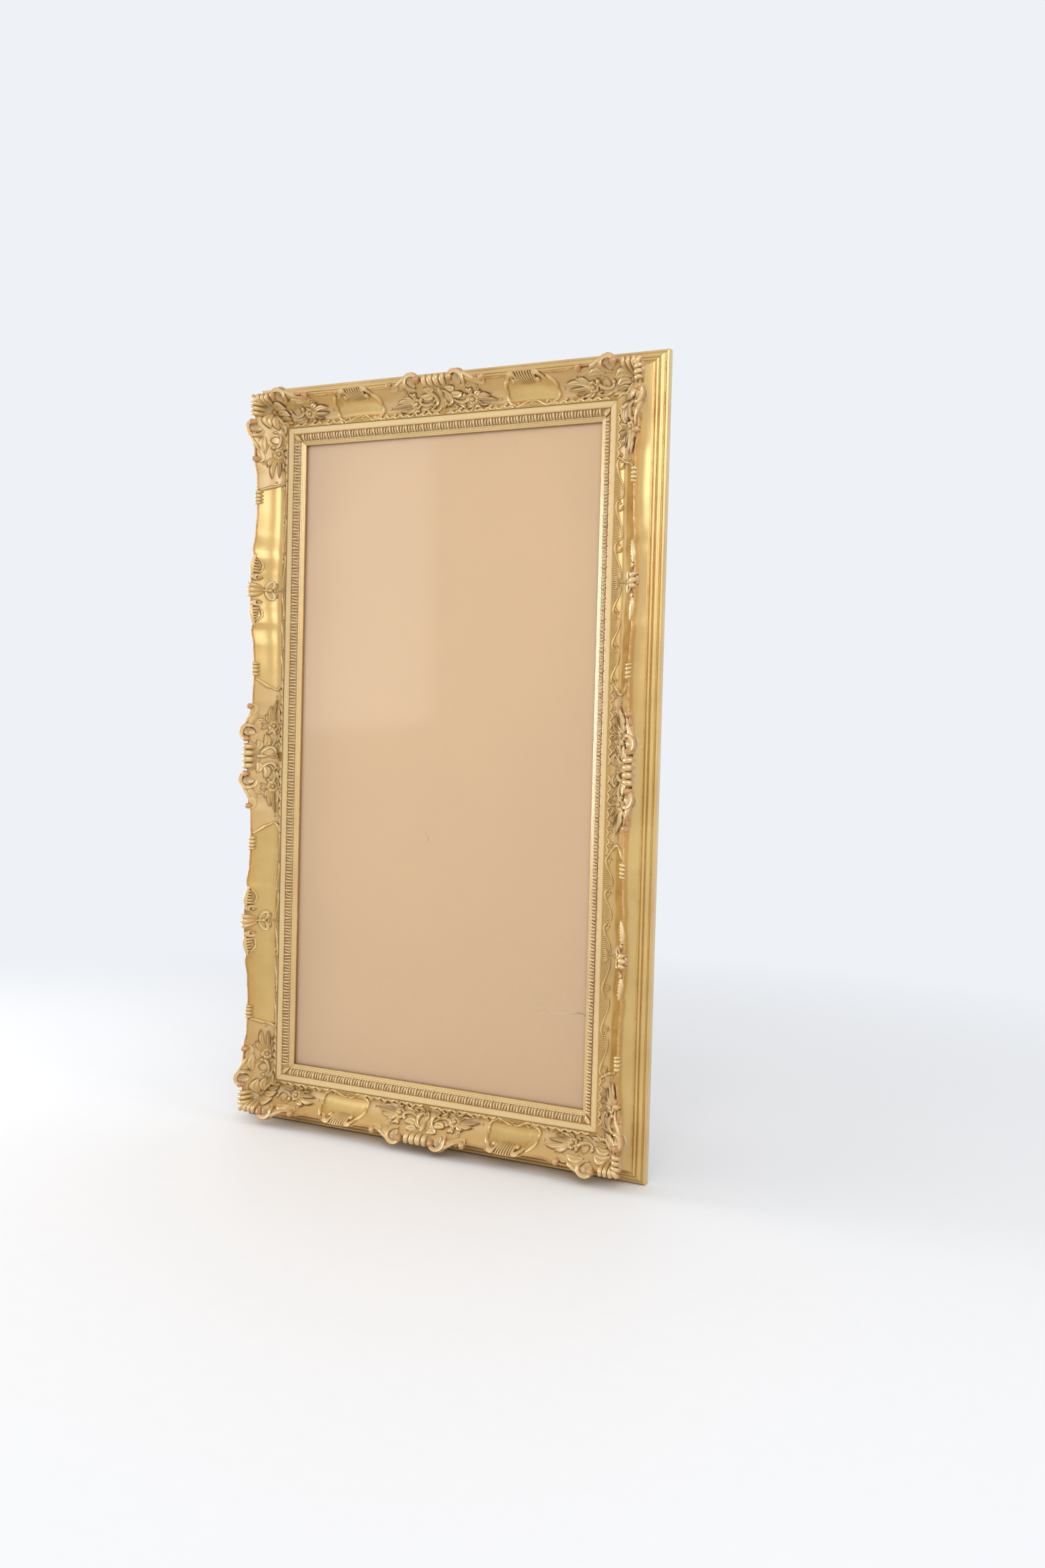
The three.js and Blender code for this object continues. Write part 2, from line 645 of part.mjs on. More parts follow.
function cornerOrnament(seats) {
  const fanHinge = crestOffset - CORNER_FAN_INSET;
  const start = CORNER_SCROLL_INSET - crestOffset;
  const end = start + CORNER_SCROLL_RUN;
  const parts = cornerLegs.flatMap((leg) => {
    const toMitre = (share) => (offset) => mix(-offset - CUT_OVERRUN, cornerReach, share);
    const patch = reliefPatch(leg, [
      { along: toMitre(0), from: 0.06, to: 0.96, rise: CORNER_RIDGE.rise },
      { along: toMitre(CORNER_RIDGE.width), from: 0.06, to: 0.96, rise: 3.5 },
      { along: toMitre(0.6), from: 0.1, to: 0.96, rise: 3 },
      { along: toMitre(0.88), from: 0.3, to: 0.94, rise: 1.8 },
      { along: toMitre(1), from: 0.55, to: 0.9, rise: 1 },
    ]);
    const leaves = CORNER_LEAVES.map(({ base, tip, width, thickness }) =>
      leaf(leg, base, tip, width, thickness));
    const scroll = crestScroll(leg, { ...CORNER_SCROLL, start, end });
    return [patch, scroll, crestLeaf(leg, end, SCROLL_LEAF), ...leaves];
  });
  const onDiagonal = (sideways, outwards, lift) => new THREE.Vector3(
    fanHinge + (outwards + sideways) / Math.SQRT2,
    -crestHeight - lift,
    fanHinge + (outwards - sideways) / Math.SQRT2,
  );
  const mitreLeg = {
    place: (along, offset, height) => new THREE.Vector3(offset + along, -height, offset - along),
    drop: () => 0,
  };
  const shellLeaf = crestLeaf(mitreLeg, 0, CORNER_SHELL_LEAF);
  return filled(cutAway(joined([...parts, crestFan(onDiagonal, CORNER_FAN), shellLeaf]), seats));
}

// Centre ornament of a side
const CENTRE_SCROLL = { start: 14, end: 50, curl: 15, turns: 1.2, lift: 5, startRadius: 6.5, endRadius: 3.5 };
const CENTRE_FAN = { ribs: 5, spread: 0.9, inner: 4, outer: 27, thickness: 17 };
const CENTRE_FAN_HINGE = 18;
const CENTRE_LEAVES = [
  { base: [12, 0.74, 1], tip: [92, 0.46, 1], width: 20, thickness: 9 },
  { base: [74, 0.97, 1], tip: [104, 0.97, 1], width: 9, thickness: 10 },
];
const CENTRE_RIDGE = { width: 0.1, rise: 8 };
const CENTRE_SHELL_LEAF = { from: 0.72, lift: 5, beyond: 7, rise: 8, width: 40, thickness: 16 };
const CENTRE_ROSETTE = { base: [55, 0.49, 2], tip: [77, 0.49, 2], width: 22, thickness: 9 };

function centreOrnament(sweep, seat) {
  const leg = sideLeg(sweep);
  const at = (share) => () => share * (CENTRE_REACH - CUT_OVERRUN);
  const patch = reliefPatch(leg, [
    { along: at(-1), from: 0.5, to: 0.8, rise: 1 },
    { along: at(-0.7), from: 0.2, to: 0.95, rise: 2.2 },
    { along: at(-CENTRE_RIDGE.width), from: 0.05, to: 0.97, rise: 3.6 },
    { along: at(0), from: 0.05, to: 0.97, rise: CENTRE_RIDGE.rise },
    { along: at(CENTRE_RIDGE.width), from: 0.05, to: 0.97, rise: 3.6 },
    { along: at(0.7), from: 0.2, to: 0.95, rise: 2.2 },
    { along: at(1), from: 0.5, to: 0.8, rise: 1 },
  ]);
  const pairs = mirroredPair.flatMap((hand) => [
    crestScroll(leg, { ...CENTRE_SCROLL, start: hand * CENTRE_SCROLL.start, end: hand * CENTRE_SCROLL.end }),
    crestLeaf(leg, hand * CENTRE_SCROLL.end, SCROLL_LEAF),
    ...[...CENTRE_LEAVES, CENTRE_ROSETTE].map(({ base, tip, width, thickness }) =>
      leaf(leg, flipped(base, hand), flipped(tip, hand), width, thickness)),
  ]);
  const onCrest = (sideways, outwards, lift) =>
    onSide(sideways, crestOffset - CENTRE_FAN_HINGE + outwards, crestHeight + lift);
  const shellLeaf = crestLeaf(leg, 0, CENTRE_SHELL_LEAF);
  return filled(cutAway(joined([patch, ...pairs, crestFan(onCrest, CENTRE_FAN), shellLeaf]), [seat]));
}

// Clasp: a small shell on the crest, with a bow and a string down the hollow
const CLASP_FAN = { ribs: 3, spread: 1, inner: 2, outer: 15, thickness: 11 };
const CLASP_FAN_HINGE = 10;
const CLASP_BOWS = [
  { base: [-3, 0.66, 1], tip: [24, 0.82, 1], width: 9, thickness: 6 },
  { base: [-3, 0.66, 1], tip: [20, 0.5, 1], width: 9, thickness: 6 },
  { base: [3, 0.97, 1], tip: [30, 0.95, 1], width: 8, thickness: 9 },
];
const CLASP_STRING = { from: 0.04, to: 0.98, width: 5, rise: 2.5 };
const CLASP_SHELL_LEAF = { from: 0.8, lift: 4, beyond: 3, rise: 6, width: 18, thickness: 12 };

function claspOrnament(sweep, seat, middle) {
  const centred = { place: onSide, drop: (along) => sweep.drop(middle + along) };
  const pairs = mirroredPair.flatMap((hand) => CLASP_BOWS.map(({ base, tip, width, thickness }) =>
    leaf(centred, flipped(base, hand), flipped(tip, hand), width, thickness)));
  const { from, to, width, rise } = CLASP_STRING;
  const string = reliefPatch(centred, mirroredPair.map((hand) => {
    return { along: () => (hand * width) / 2, from, to, rise };
  }));
  const onCrest = (sideways, outwards, lift) =>
    onSide(sideways, crestOffset - CLASP_FAN_HINGE + outwards, crestHeight + lift);
  const shellLeaf = crestLeaf(centred, 0, CLASP_SHELL_LEAF);
  const casting = joined([...pairs, string, crestFan(onCrest, CLASP_FAN), shellLeaf]);
  return filled(cutAway(casting, [seat.clone().translate(-middle, 0, 0)]));
}

// Finishes
const gold = { color: 0xd2ae66, roughness: 0.36, metalness: 0.85 };
const finishes = {
  rail: gold,
  ornament: { color: 0xc9a25c, roughness: 0.45, metalness: 0.8 },
  slip: { color: 0xd0bb86, roughness: 0.5, metalness: 0.6 },
  glass: { color: 0xeef4f2, roughness: 0.05, metalness: 0, transparent: true, opacity: 0.3 },
  panel: { color: 0xd9b68e, roughness: 0.9, metalness: 0 },
  board: { color: 0x8a6a48, roughness: 0.85, metalness: 0 },
  brass: { color: 0xb89a56, roughness: 0.4, metalness: 1 },
  steel: { color: 0xb4b4b0, roughness: 0.38, metalness: 1 },
  key: { color: 0xa9825a, roughness: 0.75, metalness: 0 },
};

function piece(name, shape, finish) {
  const geometry = shape instanceof THREE.BufferGeometry ? shape : geometryOf(shape);
  geometry.computeVertexNormals();
  const mesh = new THREE.Mesh(geometry, new THREE.MeshStandardMaterial(finishes[finish]));
  mesh.name = name;
  return mesh;
}

// The four sides: where they stand, their fittings, and which of them carry clasps and hangers
const frame = new THREE.Group();
frame.position.set(0, footMiddle, frameMiddle);

const sideKinds = {
  long: { length: SIGHT_HEIGHT, reach: SIGHT_WIDTH / 2, buttons: [-BUTTON_SPACING / 2, BUTTON_SPACING / 2] },
  short: { length: SIGHT_WIDTH, reach: SIGHT_HEIGHT / 2, buttons: [0] },
};
for (const kind of Object.values(sideKinds)) {
  kind.sweep = crestSweep(kind.length);
  kind.rail = sweptRail(kind.length, kind.sweep);
  kind.seat = railSeatShape(kind.length, kind.sweep);
  kind.ornament = geometryOf(centreOrnament(kind.sweep, kind.seat));
  kind.screwPlaces = mirroredPair.map((hand) => hand * (kind.length / 2 - ASSEMBLY_SCREW_INSET));
}

const sides = [
  { name: 'top', kind: sideKinds.short, turn: 0 },
  { name: 'right', kind: sideKinds.long, turn: 1, hangerHand: -1 },
  { name: 'bottom', kind: sideKinds.short, turn: 2 },
  { name: 'left', kind: sideKinds.long, turn: 3, hangerHand: 1 },
];

// A long side's strap runs down from its knuckle: along +X on the right side and along -X on the left
function hangerPieces(name, hand) {
  const group = new THREE.Group();
  const knuckle = hand * strapAboveCentre;
  const faced = (geometry) => (hand > 0 ? mirrored(geometry) : geometry).translate(knuckle, 0, 0);
  group.add(piece(`hanger_strap_${name}`, faced(geometryOf(hangerStrap())), 'brass'));
  group.add(piece(`hanger_ring_${name}`, faced(hangerRing()), 'brass'));
  strapScrewPlaces(hand).forEach((place, i) => {
    const head = fittingBack - STRAP_THICKNESS - FIT_GAP;
    const screw = panScrew(place, head, STRAP_SCREW_RADIUS, STRAP_SCREW_LENGTH);
    group.add(piece(`strap_screw_${name}_${i + 1}`, screw, 'steel'));
  });
  return group;
}

function mirrored(geometry) {
  geometry.scale(-1, 1, 1);
  return geometry.setIndex(Array.from(geometry.index.array).reverse());
}

const strapScrewPlaces = (hand) => strapScrewDistances.map((distance) =>
  new THREE.Vector3(hand * (strapAboveCentre - distance), 0, strapOffset));

function sidePieces({ name, kind, turn, hangerHand }) {
  const { length, reach, sweep, buttons, screwPlaces } = kind;
  const side = new THREE.Group();
  side.rotation.y = (turn * Math.PI) / 2;
  side.position.copy(new THREE.Vector3(0, 0, reach).applyEuler(side.rotation));
  const buttonPlaces = buttons.map((along) => new THREE.Vector3(along, 0, buttonOffset));
  const assemblyPlaces = screwPlaces.map((along) => new THREE.Vector3(along, 0, assemblyScrewOffset));
  const strapPlaces = hangerHand ? strapScrewPlaces(hangerHand) : [];
  const buttonHead = fittingBack - BUTTON_THICKNESS - FIT_GAP;

  const slipHoles = buttonPlaces.map((place) =>
    screwHole(place, innerBack, BUTTON_SCREW_RADIUS, BUTTON_SCREW_LENGTH));
  const slip = solid(mitredRail(length, slipProfile, [], mitreGap));
  side.add(piece(`sight_slip_${name}`, cutAway(slip, slipHoles), 'slip'));

  const railHoles = [
    ...assemblyPlaces.map((place) => countersunkScrew(place, FIT_GAP)),
    ...strapPlaces.map((place) => screwHole(place, innerBack, STRAP_SCREW_RADIUS, STRAP_SCREW_LENGTH)),
  ];
  side.add(piece(`swept_rail_${name}`, cutAway(solid(kind.rail), railHoles), 'rail'));

  const pockets = mirroredPair.map((hand) => mitreKey(FIT_GAP, (hand * Math.PI) / 4)
    .translate(hand * (length / 2 + keyOffset), 0, keyOffset));
  const screwWays = assemblyPlaces.map((place) => countersunkScrew(place, FIT_GAP));
  const back = solid(mitredRail(length, backProfile, [], mitreGap));
  side.add(piece(`back_rail_${name}`, cutAway(back, [...pockets, ...screwWays]), 'rail'));

  side.add(piece(`centre_ornament_${name}`, kind.ornament.clone(), 'ornament'));
  buttonPlaces.forEach((place, i) => {
    const label = buttons.length > 1 ? `${name}_${i + 1}` : name;
    side.add(piece(`turn_button_${label}`, turnButton().translate(place.x, 0, 0), 'brass'));
    const screw = panScrew(place, buttonHead, BUTTON_SCREW_RADIUS, BUTTON_SCREW_LENGTH);
    side.add(piece(`button_screw_${label}`, screw, 'steel'));
  });
  assemblyPlaces.forEach((place, i) => {
    side.add(piece(`assembly_screw_${name}_${i + 1}`, countersunkScrew(place, 0), 'steel'));
  });
  if (hangerHand) {
    side.add(hangerPieces(name, hangerHand));
    mirroredPair.forEach((hand) => {
      const level = hand * hangerHand > 0 ? 'upper' : 'lower';
      const middle = hand * sweep.cusp;
      const casting = geometryOf(claspOrnament(sweep, kind.seat, middle));
      side.add(piece(`clasp_${name}_${level}`, casting.translate(middle, 0, 0), 'ornament'));
    });
  }
  return side;
}

for (const side of sides) {
  frame.add(sidePieces(side));
}

// The four corners: ornament and key, made for the top right corner and turned to the others
const cornerSeats = [
  sideKinds.short.seat.clone().translate(-SIGHT_WIDTH / 2, 0, 0),
  sideKinds.long.seat.clone().rotateY(Math.PI / 2).translate(0, 0, -SIGHT_HEIGHT / 2),
];
const corner = geometryOf(cornerOrnament(cornerSeats));
['top_right', 'bottom_right', 'bottom_left', 'top_left'].forEach((name, turn) => {
  const group = new THREE.Group();
  const [across, up] = name.split('_').reverse().map((word) => (word === 'right' || word === 'top' ? 1 : -1));
  group.rotation.y = (turn * Math.PI) / 2;
  group.position.set((across * SIGHT_WIDTH) / 2, 0, (up * SIGHT_HEIGHT) / 2);
  group.add(piece(`corner_ornament_${name}`, corner.clone(), 'ornament'));
  group.add(piece(`mitre_key_${name}`, mitreKey(0, Math.PI / 4).translate(keyOffset, 0, keyOffset), 'key'));
  frame.add(group);
});

// Glass, panel and board in the rebate
function sheet(name, front, thickness, finish) {
  const width = SIGHT_WIDTH + 2 * REBATE_WIDTH;
  const height = SIGHT_HEIGHT + 2 * REBATE_WIDTH;
  const geometry = new THREE.BoxGeometry(width, thickness, height);
  return piece(name, geometry.translate(0, thickness / 2 - front, 0), finish);
}
frame.add(sheet('glass_pane', glassFront, GLASS_THICKNESS, 'glass'));
frame.add(sheet('paper_panel', panelFront, PANEL_THICKNESS, 'panel'));
frame.add(sheet('back_board', boardFront, BOARD_THICKNESS, 'board'));

export default frame;
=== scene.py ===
import math

import bpy
import numpy as np
from bpy.props import FloatProperty, FloatVectorProperty, PointerProperty
from bpy.types import Operator, Panel, PropertyGroup
from mathutils import Matrix, Vector


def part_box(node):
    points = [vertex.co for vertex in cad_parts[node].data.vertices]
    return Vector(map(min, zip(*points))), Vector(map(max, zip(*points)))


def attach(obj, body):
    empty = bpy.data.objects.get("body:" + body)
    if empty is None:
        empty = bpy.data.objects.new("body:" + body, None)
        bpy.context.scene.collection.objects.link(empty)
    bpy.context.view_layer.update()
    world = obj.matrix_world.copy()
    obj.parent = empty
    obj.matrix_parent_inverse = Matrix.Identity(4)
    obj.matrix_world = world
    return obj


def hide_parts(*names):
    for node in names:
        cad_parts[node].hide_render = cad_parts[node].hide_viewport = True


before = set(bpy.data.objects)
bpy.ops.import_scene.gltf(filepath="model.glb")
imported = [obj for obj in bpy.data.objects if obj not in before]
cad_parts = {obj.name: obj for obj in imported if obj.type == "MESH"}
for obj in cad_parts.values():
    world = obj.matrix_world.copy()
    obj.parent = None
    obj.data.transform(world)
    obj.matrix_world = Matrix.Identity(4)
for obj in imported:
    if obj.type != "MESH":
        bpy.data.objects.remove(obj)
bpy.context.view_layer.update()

bl_info = {
    "name": "Gilded Swept Frame",
    "version": (1, 0, 0),
    "blender": (4, 5, 0),
    "location": "View3D > Sidebar > Gilt Frame",
    "description": "Carved and gilded surfaces for a swept frame, its glazing and its back fittings",
    "category": "Object",
}

MM = 0.001
SIDES = ("top", "right", "bottom", "left")
KINDS = {"top": "short", "bottom": "short", "left": "long", "right": "long"}

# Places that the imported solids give, in metres
slip_low, slip_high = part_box("sight_slip_left")
rail_low, rail_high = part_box("swept_rail_left")
moulding_low, moulding_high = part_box("back_rail_left")
sight_side = slip_high.x
frame_middle = (slip_low.z + slip_high.z) / 2
sight_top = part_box("sight_slip_top")[0].z
wall_plane = moulding_high.y

# Shape of the swept section, as shares of its hollow and in millimetres
HOLLOW_LOW = 0.3
HOLLOW_DIP = 11.5
INNER_POWER = 1.6
OUTER_POWER = 1.9
TOE_STEP = 1.5
SWEEP_FALL = 0.7
OVERHANG_SLOPE = 0.25
SHELF_RISE = 3.5
SHELF_START = 24.0
SHELF_END = 4.0
CREST_WIDTH = 3.6
CREST_ROUND = 1.2
COVE_FLARE = 5.5
COVE_DEPTH = 6.0
FIT_GAP = 0.3
MITRE_GAP = 0.2
MITRE_FAN = 90.0
MITRE_SOFTNESS = 5.0

# Offsets of the ornament are drawn for a crest here, and fitted to the rail's own
DRAWN_CREST = 107.0


def linear(value):
    """One channel of a screen colour, from 0 to 255, as linear light"""
    share = value / 255
    return share / 12.92 if share <= 0.04045 else ((share + 0.055) / 1.055) ** 2.4


def tone(red, green, blue):
    return tuple(linear(value) for value in (red, green, blue))


def length_property(name, description, default):
    return FloatProperty(name=name, description=description, default=default, unit="LENGTH", precision=4)


def colour_property(name, description, default):
    return FloatVectorProperty(
        name=name, description=description, default=default, subtype="COLOR", size=3, min=0, max=1
    )


class FrameSizes(PropertyGroup):
    """Sizes of the frame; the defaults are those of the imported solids"""

    sight_width: length_property("Sight width", "Clear width of the opening", -2 * sight_side)
    sight_height: length_property(
        "Sight height", "Clear height of the opening", 2 * (sight_top - frame_middle)
    )
    slip_width: length_property("Slip width", "Width of the sight slip", slip_high.x - slip_low.x)
    toe_offset: length_property(
        "Toe offset", "Sight edge to the toe of the hollow", sight_side - rail_high.x
    )
    cove_foot: length_property(
        "Cove foot", "Sight edge to the foot of the cove", sight_side - rail_low.x
    )
    seat_offset: length_property(
        "Seat offset", "Sight edge to the back rail", sight_side - moulding_high.x
    )
    outer_offset: length_property(
        "Outer offset", "Sight edge to the outer edge", sight_side - moulding_low.x
    )
    crest_height: length_property(
        "Crest height", "Wall to the top of the crest", wall_plane - rail_low.y
    )
    flat_height: length_property("Flat height", "Wall to the slip's flat", wall_plane - slip_low.y)
    inner_back: length_property("Inner back", "Wall to the back of the slip", wall_plane - slip_high.y)
    back_height: length_property(
        "Back height", "Depth of the reeded back rail", wall_plane - moulding_low.y
    )
    centre_field: length_property("Centre field", "Half length of the centre ornament", 0.140)
    corner_field: length_property("Corner field", "Reach of the corner ornament along the crest", 0.190)
    leaf_pitch: length_property("Leaf pitch", "Length of one cell of the leaf-tip band", 0.020)


class FrameColours(PropertyGroup):
    """Colours of the finishes"""

    burnished: colour_property("Burnished gold", "Polished leaf on the panels", tone(214, 177, 96))
    deep: colour_property("Deep gold", "Shaded and rubbed leaf", tone(192, 151, 68))
    matte: colour_property("Matte gold", "Unpolished leaf on the ornament", tone(206, 169, 104))
    # Bole also stands as painted shade on the sight wall, in grooves and on the band's sunk ground
    bole: colour_property("Bole", "Red clay under the leaf, seen at worn edges", tone(170, 104, 58))
    # The toning is a real wash that is also laid as painted shade in recesses and at the feet of the
    # carving
    toning: colour_property("Toning", "Grey-green wash in the recesses", tone(140, 129, 92))
    # Painted shade: this brown is laid into the recesses by the gilding's occlusion node
    shade: colour_property("Painted_shade", "Brown painted_shade in the deepest recesses", tone(104, 72, 40))
    cream: colour_property("Cream", "Painted flat of the slip", tone(224, 198, 146))
    paper: colour_property("Paper", "Facing of the panel", tone(224, 185, 140))
    wood: colour_property("Bare wood", "Back of the rails", tone(176, 140, 98))
    board: colour_property("Hardboard", "Back board", tone(116, 82, 54))
    brass: colour_property("Brass", "Buttons, straps and rings", tone(204, 168, 92))
    steel: colour_property("Steel", "Screws", tone(150, 150, 148))
    floor: colour_property("Floor", "Pale floor", tone(232, 231, 230))
    backdrop: colour_property("Backdrop", "Colour behind the frame", tone(238, 241, 246))


# Curves

def along(values, share):
    """A smooth run through evenly spaced values, read at shares from 0 to 1"""
    knots = np.atleast_1d(np.asarray(values, float))
    if len(knots) == 1:
        return np.full(np.shape(share), knots[0])
    padded = np.concatenate([[2 * knots[0] - knots[1]], knots, [2 * knots[-1] - knots[-2]]])
    place = np.asarray(share) * (len(knots) - 1)
    first = np.clip(place.astype(int), 0, len(knots) - 2)
    f = place - first
    a, b, c, d = (padded[first + k] for k in range(4))
    square = 2 * a - 5 * b + 4 * c - d
    cube = 3 * b - a - 3 * c + d
    return 0.5 * (2 * b + (c - a) * f + square * f**2 + cube * f**3)


def spline(points, count):
    """Evenly spaced points on a smooth curve through the given ones"""
    knots = np.asarray(points, float)
    fine = np.linspace(0, 1, 8 * len(knots) + 1)
    dense = np.column_stack([along(knots[:, k], fine) for k in range(knots.shape[1])])
    run = np.concatenate([[0], np.cumsum(np.linalg.norm(np.diff(dense, axis=0), axis=1))])
    even = np.linspace(0, run[-1], count + 1)
    return np.column_stack([np.interp(even, run, dense[:, k]) for k in range(dense.shape[1])])


def smooth(value, low, high):
    """0 below low, 1 above high and an even slope between"""
    share = np.clip((value - low) / (high - low), 0, 1)
    return share * share * (3 - 2 * share)


def eased(place, knots, values):
    """Values at knots, joined by curves that are level at each knot"""
    knots, values = np.asarray(knots, float), np.asarray(values, float)
    first = np.clip(np.searchsorted(knots, place, side="right") - 1, 0, len(knots) - 2)
    share = smooth(place, knots[first], knots[first + 1])
    return values[first] + (values[first + 1] - values[first]) * share


def arc(centre, radius, start, end, count):
    """Points on a circular or closing arc; radius may be a pair from start to end"""
    turn = np.radians(np.linspace(start, end, count))
    reach = np.linspace(*np.broadcast_to(radius, 2), count)
    return np.column_stack([centre[0] + reach * np.cos(turn), centre[1] + reach * np.sin(turn)])


# Sections of the strokes that the carving is made of, over -1 to 1 across the stroke

def dome(across):
    return np.sqrt(np.clip(1 - across**2, 0, 1))


def veined(across):
    return dome(across) * (1 - 0.5 * np.exp(-((across / 0.24) ** 2)))


def channelled(across):
    return dome(across) ** 0.5 * (0.5 + 0.5 * np.abs(across) ** 1.5)


CREST_CENTRE = ((0, 2), (96, 3), (122, 7.5))
CREST_CLASP = ((-172, 9), (-120, 7), (-86, 3), (-70, 5.5), (-40, 1.4), (-22, 0))
CREST_PATCH = ((-44, 6.5), (-36, 3), (-14, 0.6))
CREST_CORNER = ((0, 2), (100, 2), (136, 3.5), (166, 8))


class Plan:
    """The frame in millimetres: offsets outwards from the sight edge, heights forward from the wall"""

    def __init__(self, sizes):
        self.half = {"long": sizes.sight_height / 2 / MM, "short": sizes.sight_width / 2 / MM}
        self.slip = sizes.slip_width / MM
        self.toe = sizes.toe_offset / MM
        self.cove_foot = sizes.cove_foot / MM
        self.seat = sizes.seat_offset / MM
        self.crest = self.cove_foot - COVE_FLARE
        self.outer = sizes.outer_offset / MM
        self.crest_height = sizes.crest_height / MM - CREST_ROUND
        self.flat_height = sizes.flat_height / MM
        self.toe_height = self.flat_height + TOE_STEP
        self.inner_back = sizes.inner_back / MM
        self.back_height = sizes.back_height / MM
        self.centre_field = sizes.centre_field / MM
        self.corner_field = sizes.corner_field / MM
        self.leaf_pitch = sizes.leaf_pitch / MM
        self.lines = {kind: self.crest_line(kind) for kind in self.half}

    def fit(self, offset):
        """An offset of the ornament's drawing, on the rail's own hollow"""
        share = (self.crest - self.toe) / (DRAWN_CREST - self.toe)
        inside = np.clip(offset, self.toe, DRAWN_CREST)
        return offset + (self.toe - inside) * (1 - share)

    def drawn(self, offset):
        """The offset of the ornament's drawing that falls on a place in the hollow"""
        return self.toe + (offset - self.toe) * (DRAWN_CREST - self.toe) / (self.crest - self.toe)

    def crest_end(self, kind):
        return self.half[kind] + self.crest

    def panel_end(self, kind):
        return self.crest_end(kind) - self.corner_field

    def panel_middle(self, kind):
        return (self.centre_field + self.panel_end(kind)) / 2

    def crest_line(self, kind):
        """Knots of the crest's inward sweep along half a side"""
        middle = self.panel_middle(kind)
        swell = CREST_CLASP if kind == "long" else CREST_PATCH
        knots = list(CREST_CENTRE)
        knots += [(middle + place, fall) for place, fall in swell]
        knots += [(middle - place, fall) for place, fall in reversed(swell)]
        knots += [(self.crest_end(kind) - place, fall) for place, fall in reversed(CREST_CORNER)]
        return np.array(knots).T

    def drop(self, kind, s):
        return eased(np.abs(s), *self.lines[kind])

    def corner_drop(self, distance):
        return eased(distance, *np.array(CREST_CORNER).T)

    def hollow(self, drop, offset):
        """Height of the hollow from its toe to its crest, and of the air past the crest"""
        share = np.clip((offset - self.toe) / (self.crest - drop - self.toe), 0, 1)
        floor = self.toe_height - HOLLOW_DIP
        inwards = np.maximum(1 - share / HOLLOW_LOW, 0) ** INNER_POWER
        outwards = np.maximum((share - HOLLOW_LOW) / (1 - HOLLOW_LOW), 0) ** OUTER_POWER
        past = np.maximum(offset - self.crest + drop, 0)
        rise = self.crest_height - SWEEP_FALL * drop - floor
        return floor + HOLLOW_DIP * inwards + rise * outwards + past * OVERHANG_SLOPE

    def shelf(self, offset):
        """How far the castings at the crest stand forward of the hollow"""
        return SHELF_RISE * smooth(offset, self.crest - SHELF_START, self.crest - SHELF_END)


class Chart:
    """A stretch of the front; place lifts points square to its surface"""

    reach = 0.4

    def __init__(self, plan, shelf=0.0):
        self.plan = plan
        self.shelf = shelf

    def fit(self, points):
        """Drawn points on the stretch itself"""
        return points

    def place(self, u, v, lift):
        slope_u = (self.height(u + self.reach, v) - self.height(u - self.reach, v)) / (2 * self.reach)
        slope_v = (self.height(u, v + self.reach) - self.height(u, v - self.reach)) / (2 * self.reach)
        rise = lift / np.sqrt(1 + slope_u**2 + slope_v**2)
        return np.stack([u - slope_u * rise, v - slope_v * rise, self.height(u, v) + rise], -1)


class RailChart(Chart):
    """Along one swept rail: u from the middle of the side, v from the sight edge"""

    def __init__(self, plan, kind, shift=0.0, shelf=0.0):
        super().__init__(plan, shelf)
        self.kind = kind
        self.shift = shift

    def fit(self, points):
        return np.column_stack([points[:, 0], self.plan.fit(points[:, 1])])

    def height(self, u, v):
        drop = self.plan.drop(self.kind, u + self.shift)
        return self.plan.hollow(drop, v) + self.shelf * self.plan.shelf(v)


class CornerChart(Chart):
    """Round a mitre: u and v outwards from the two sight edges that meet there"""

    def fit(self, points):
        return self.plan.fit(points)

    def height(self, u, v):
        offset = (u + v + np.sqrt((u - v) ** 2 + MITRE_SOFTNESS**2)) / 2
        distance = self.plan.crest - np.minimum(u, v)
        drop = self.plan.corner_drop(np.maximum(distance, 0))
        return self.plan.hollow(drop, offset) + self.shelf * self.plan.shelf(offset)


class FlatChart(Chart):
    """A level face at one height"""

    def __init__(self, level):
        self.level = level

    def height(self, u, v):
        return self.level + 0 * u


LIP_WIDTH = 9.5
BAND_WIDTH = 12.5
BAND_RISE = 8.0
FLAT_RISE = 2.0
GROOVE_WIDTH = 1.2
GROOVE_DEPTH = 1.0
BAND_SINK = 2.8
LIP_RISE = 4.0
LIP_THICKNESS = 4.7
REBATE = 8.3


class SlipChart(Chart):
    """Along a sight slip: u from the middle of the side, v from the sight edge"""

    def height(self, u, v):
        lip_top = self.plan.flat_height - FLAT_RISE - BAND_RISE
        share = np.clip((v - LIP_WIDTH) / BAND_WIDTH, 0, 1)
        band = BAND_RISE * np.sqrt(1 - (1 - share) ** 2)
        lip = LIP_RISE * np.minimum(v / LIP_WIDTH - 1, 0)
        return lip_top + lip + band + 0 * u


def signed_volume(grid):
    """Volume inside a closed tube of rings, below zero where its faces look inwards"""
    near = grid - grid.reshape(-1, 3).mean(0)
    ahead = np.roll(near, -1, axis=1)
    total = np.sum(near[:-1] * np.cross(near[1:], ahead[1:]))
    total += np.sum(near[:-1] * np.cross(ahead[1:], ahead[:-1]))
    for ring, side in ((0, 1), (-1, -1)):
        total += side * np.sum(near[ring].mean(0) * np.cross(near[ring], ahead[ring]))
    return total


# Channels of the finish: wear down to the bole, which also paints shade on the sight wall and in
# grooves; toning, which also paints shade in recesses and at the feet of the carving; matte leaf and
# cream paint
WEAR_AND_SHADE, TONING_AND_SHADE, MATTE, CREAM = range(4)
SHARP_ANGLE = math.radians(50)


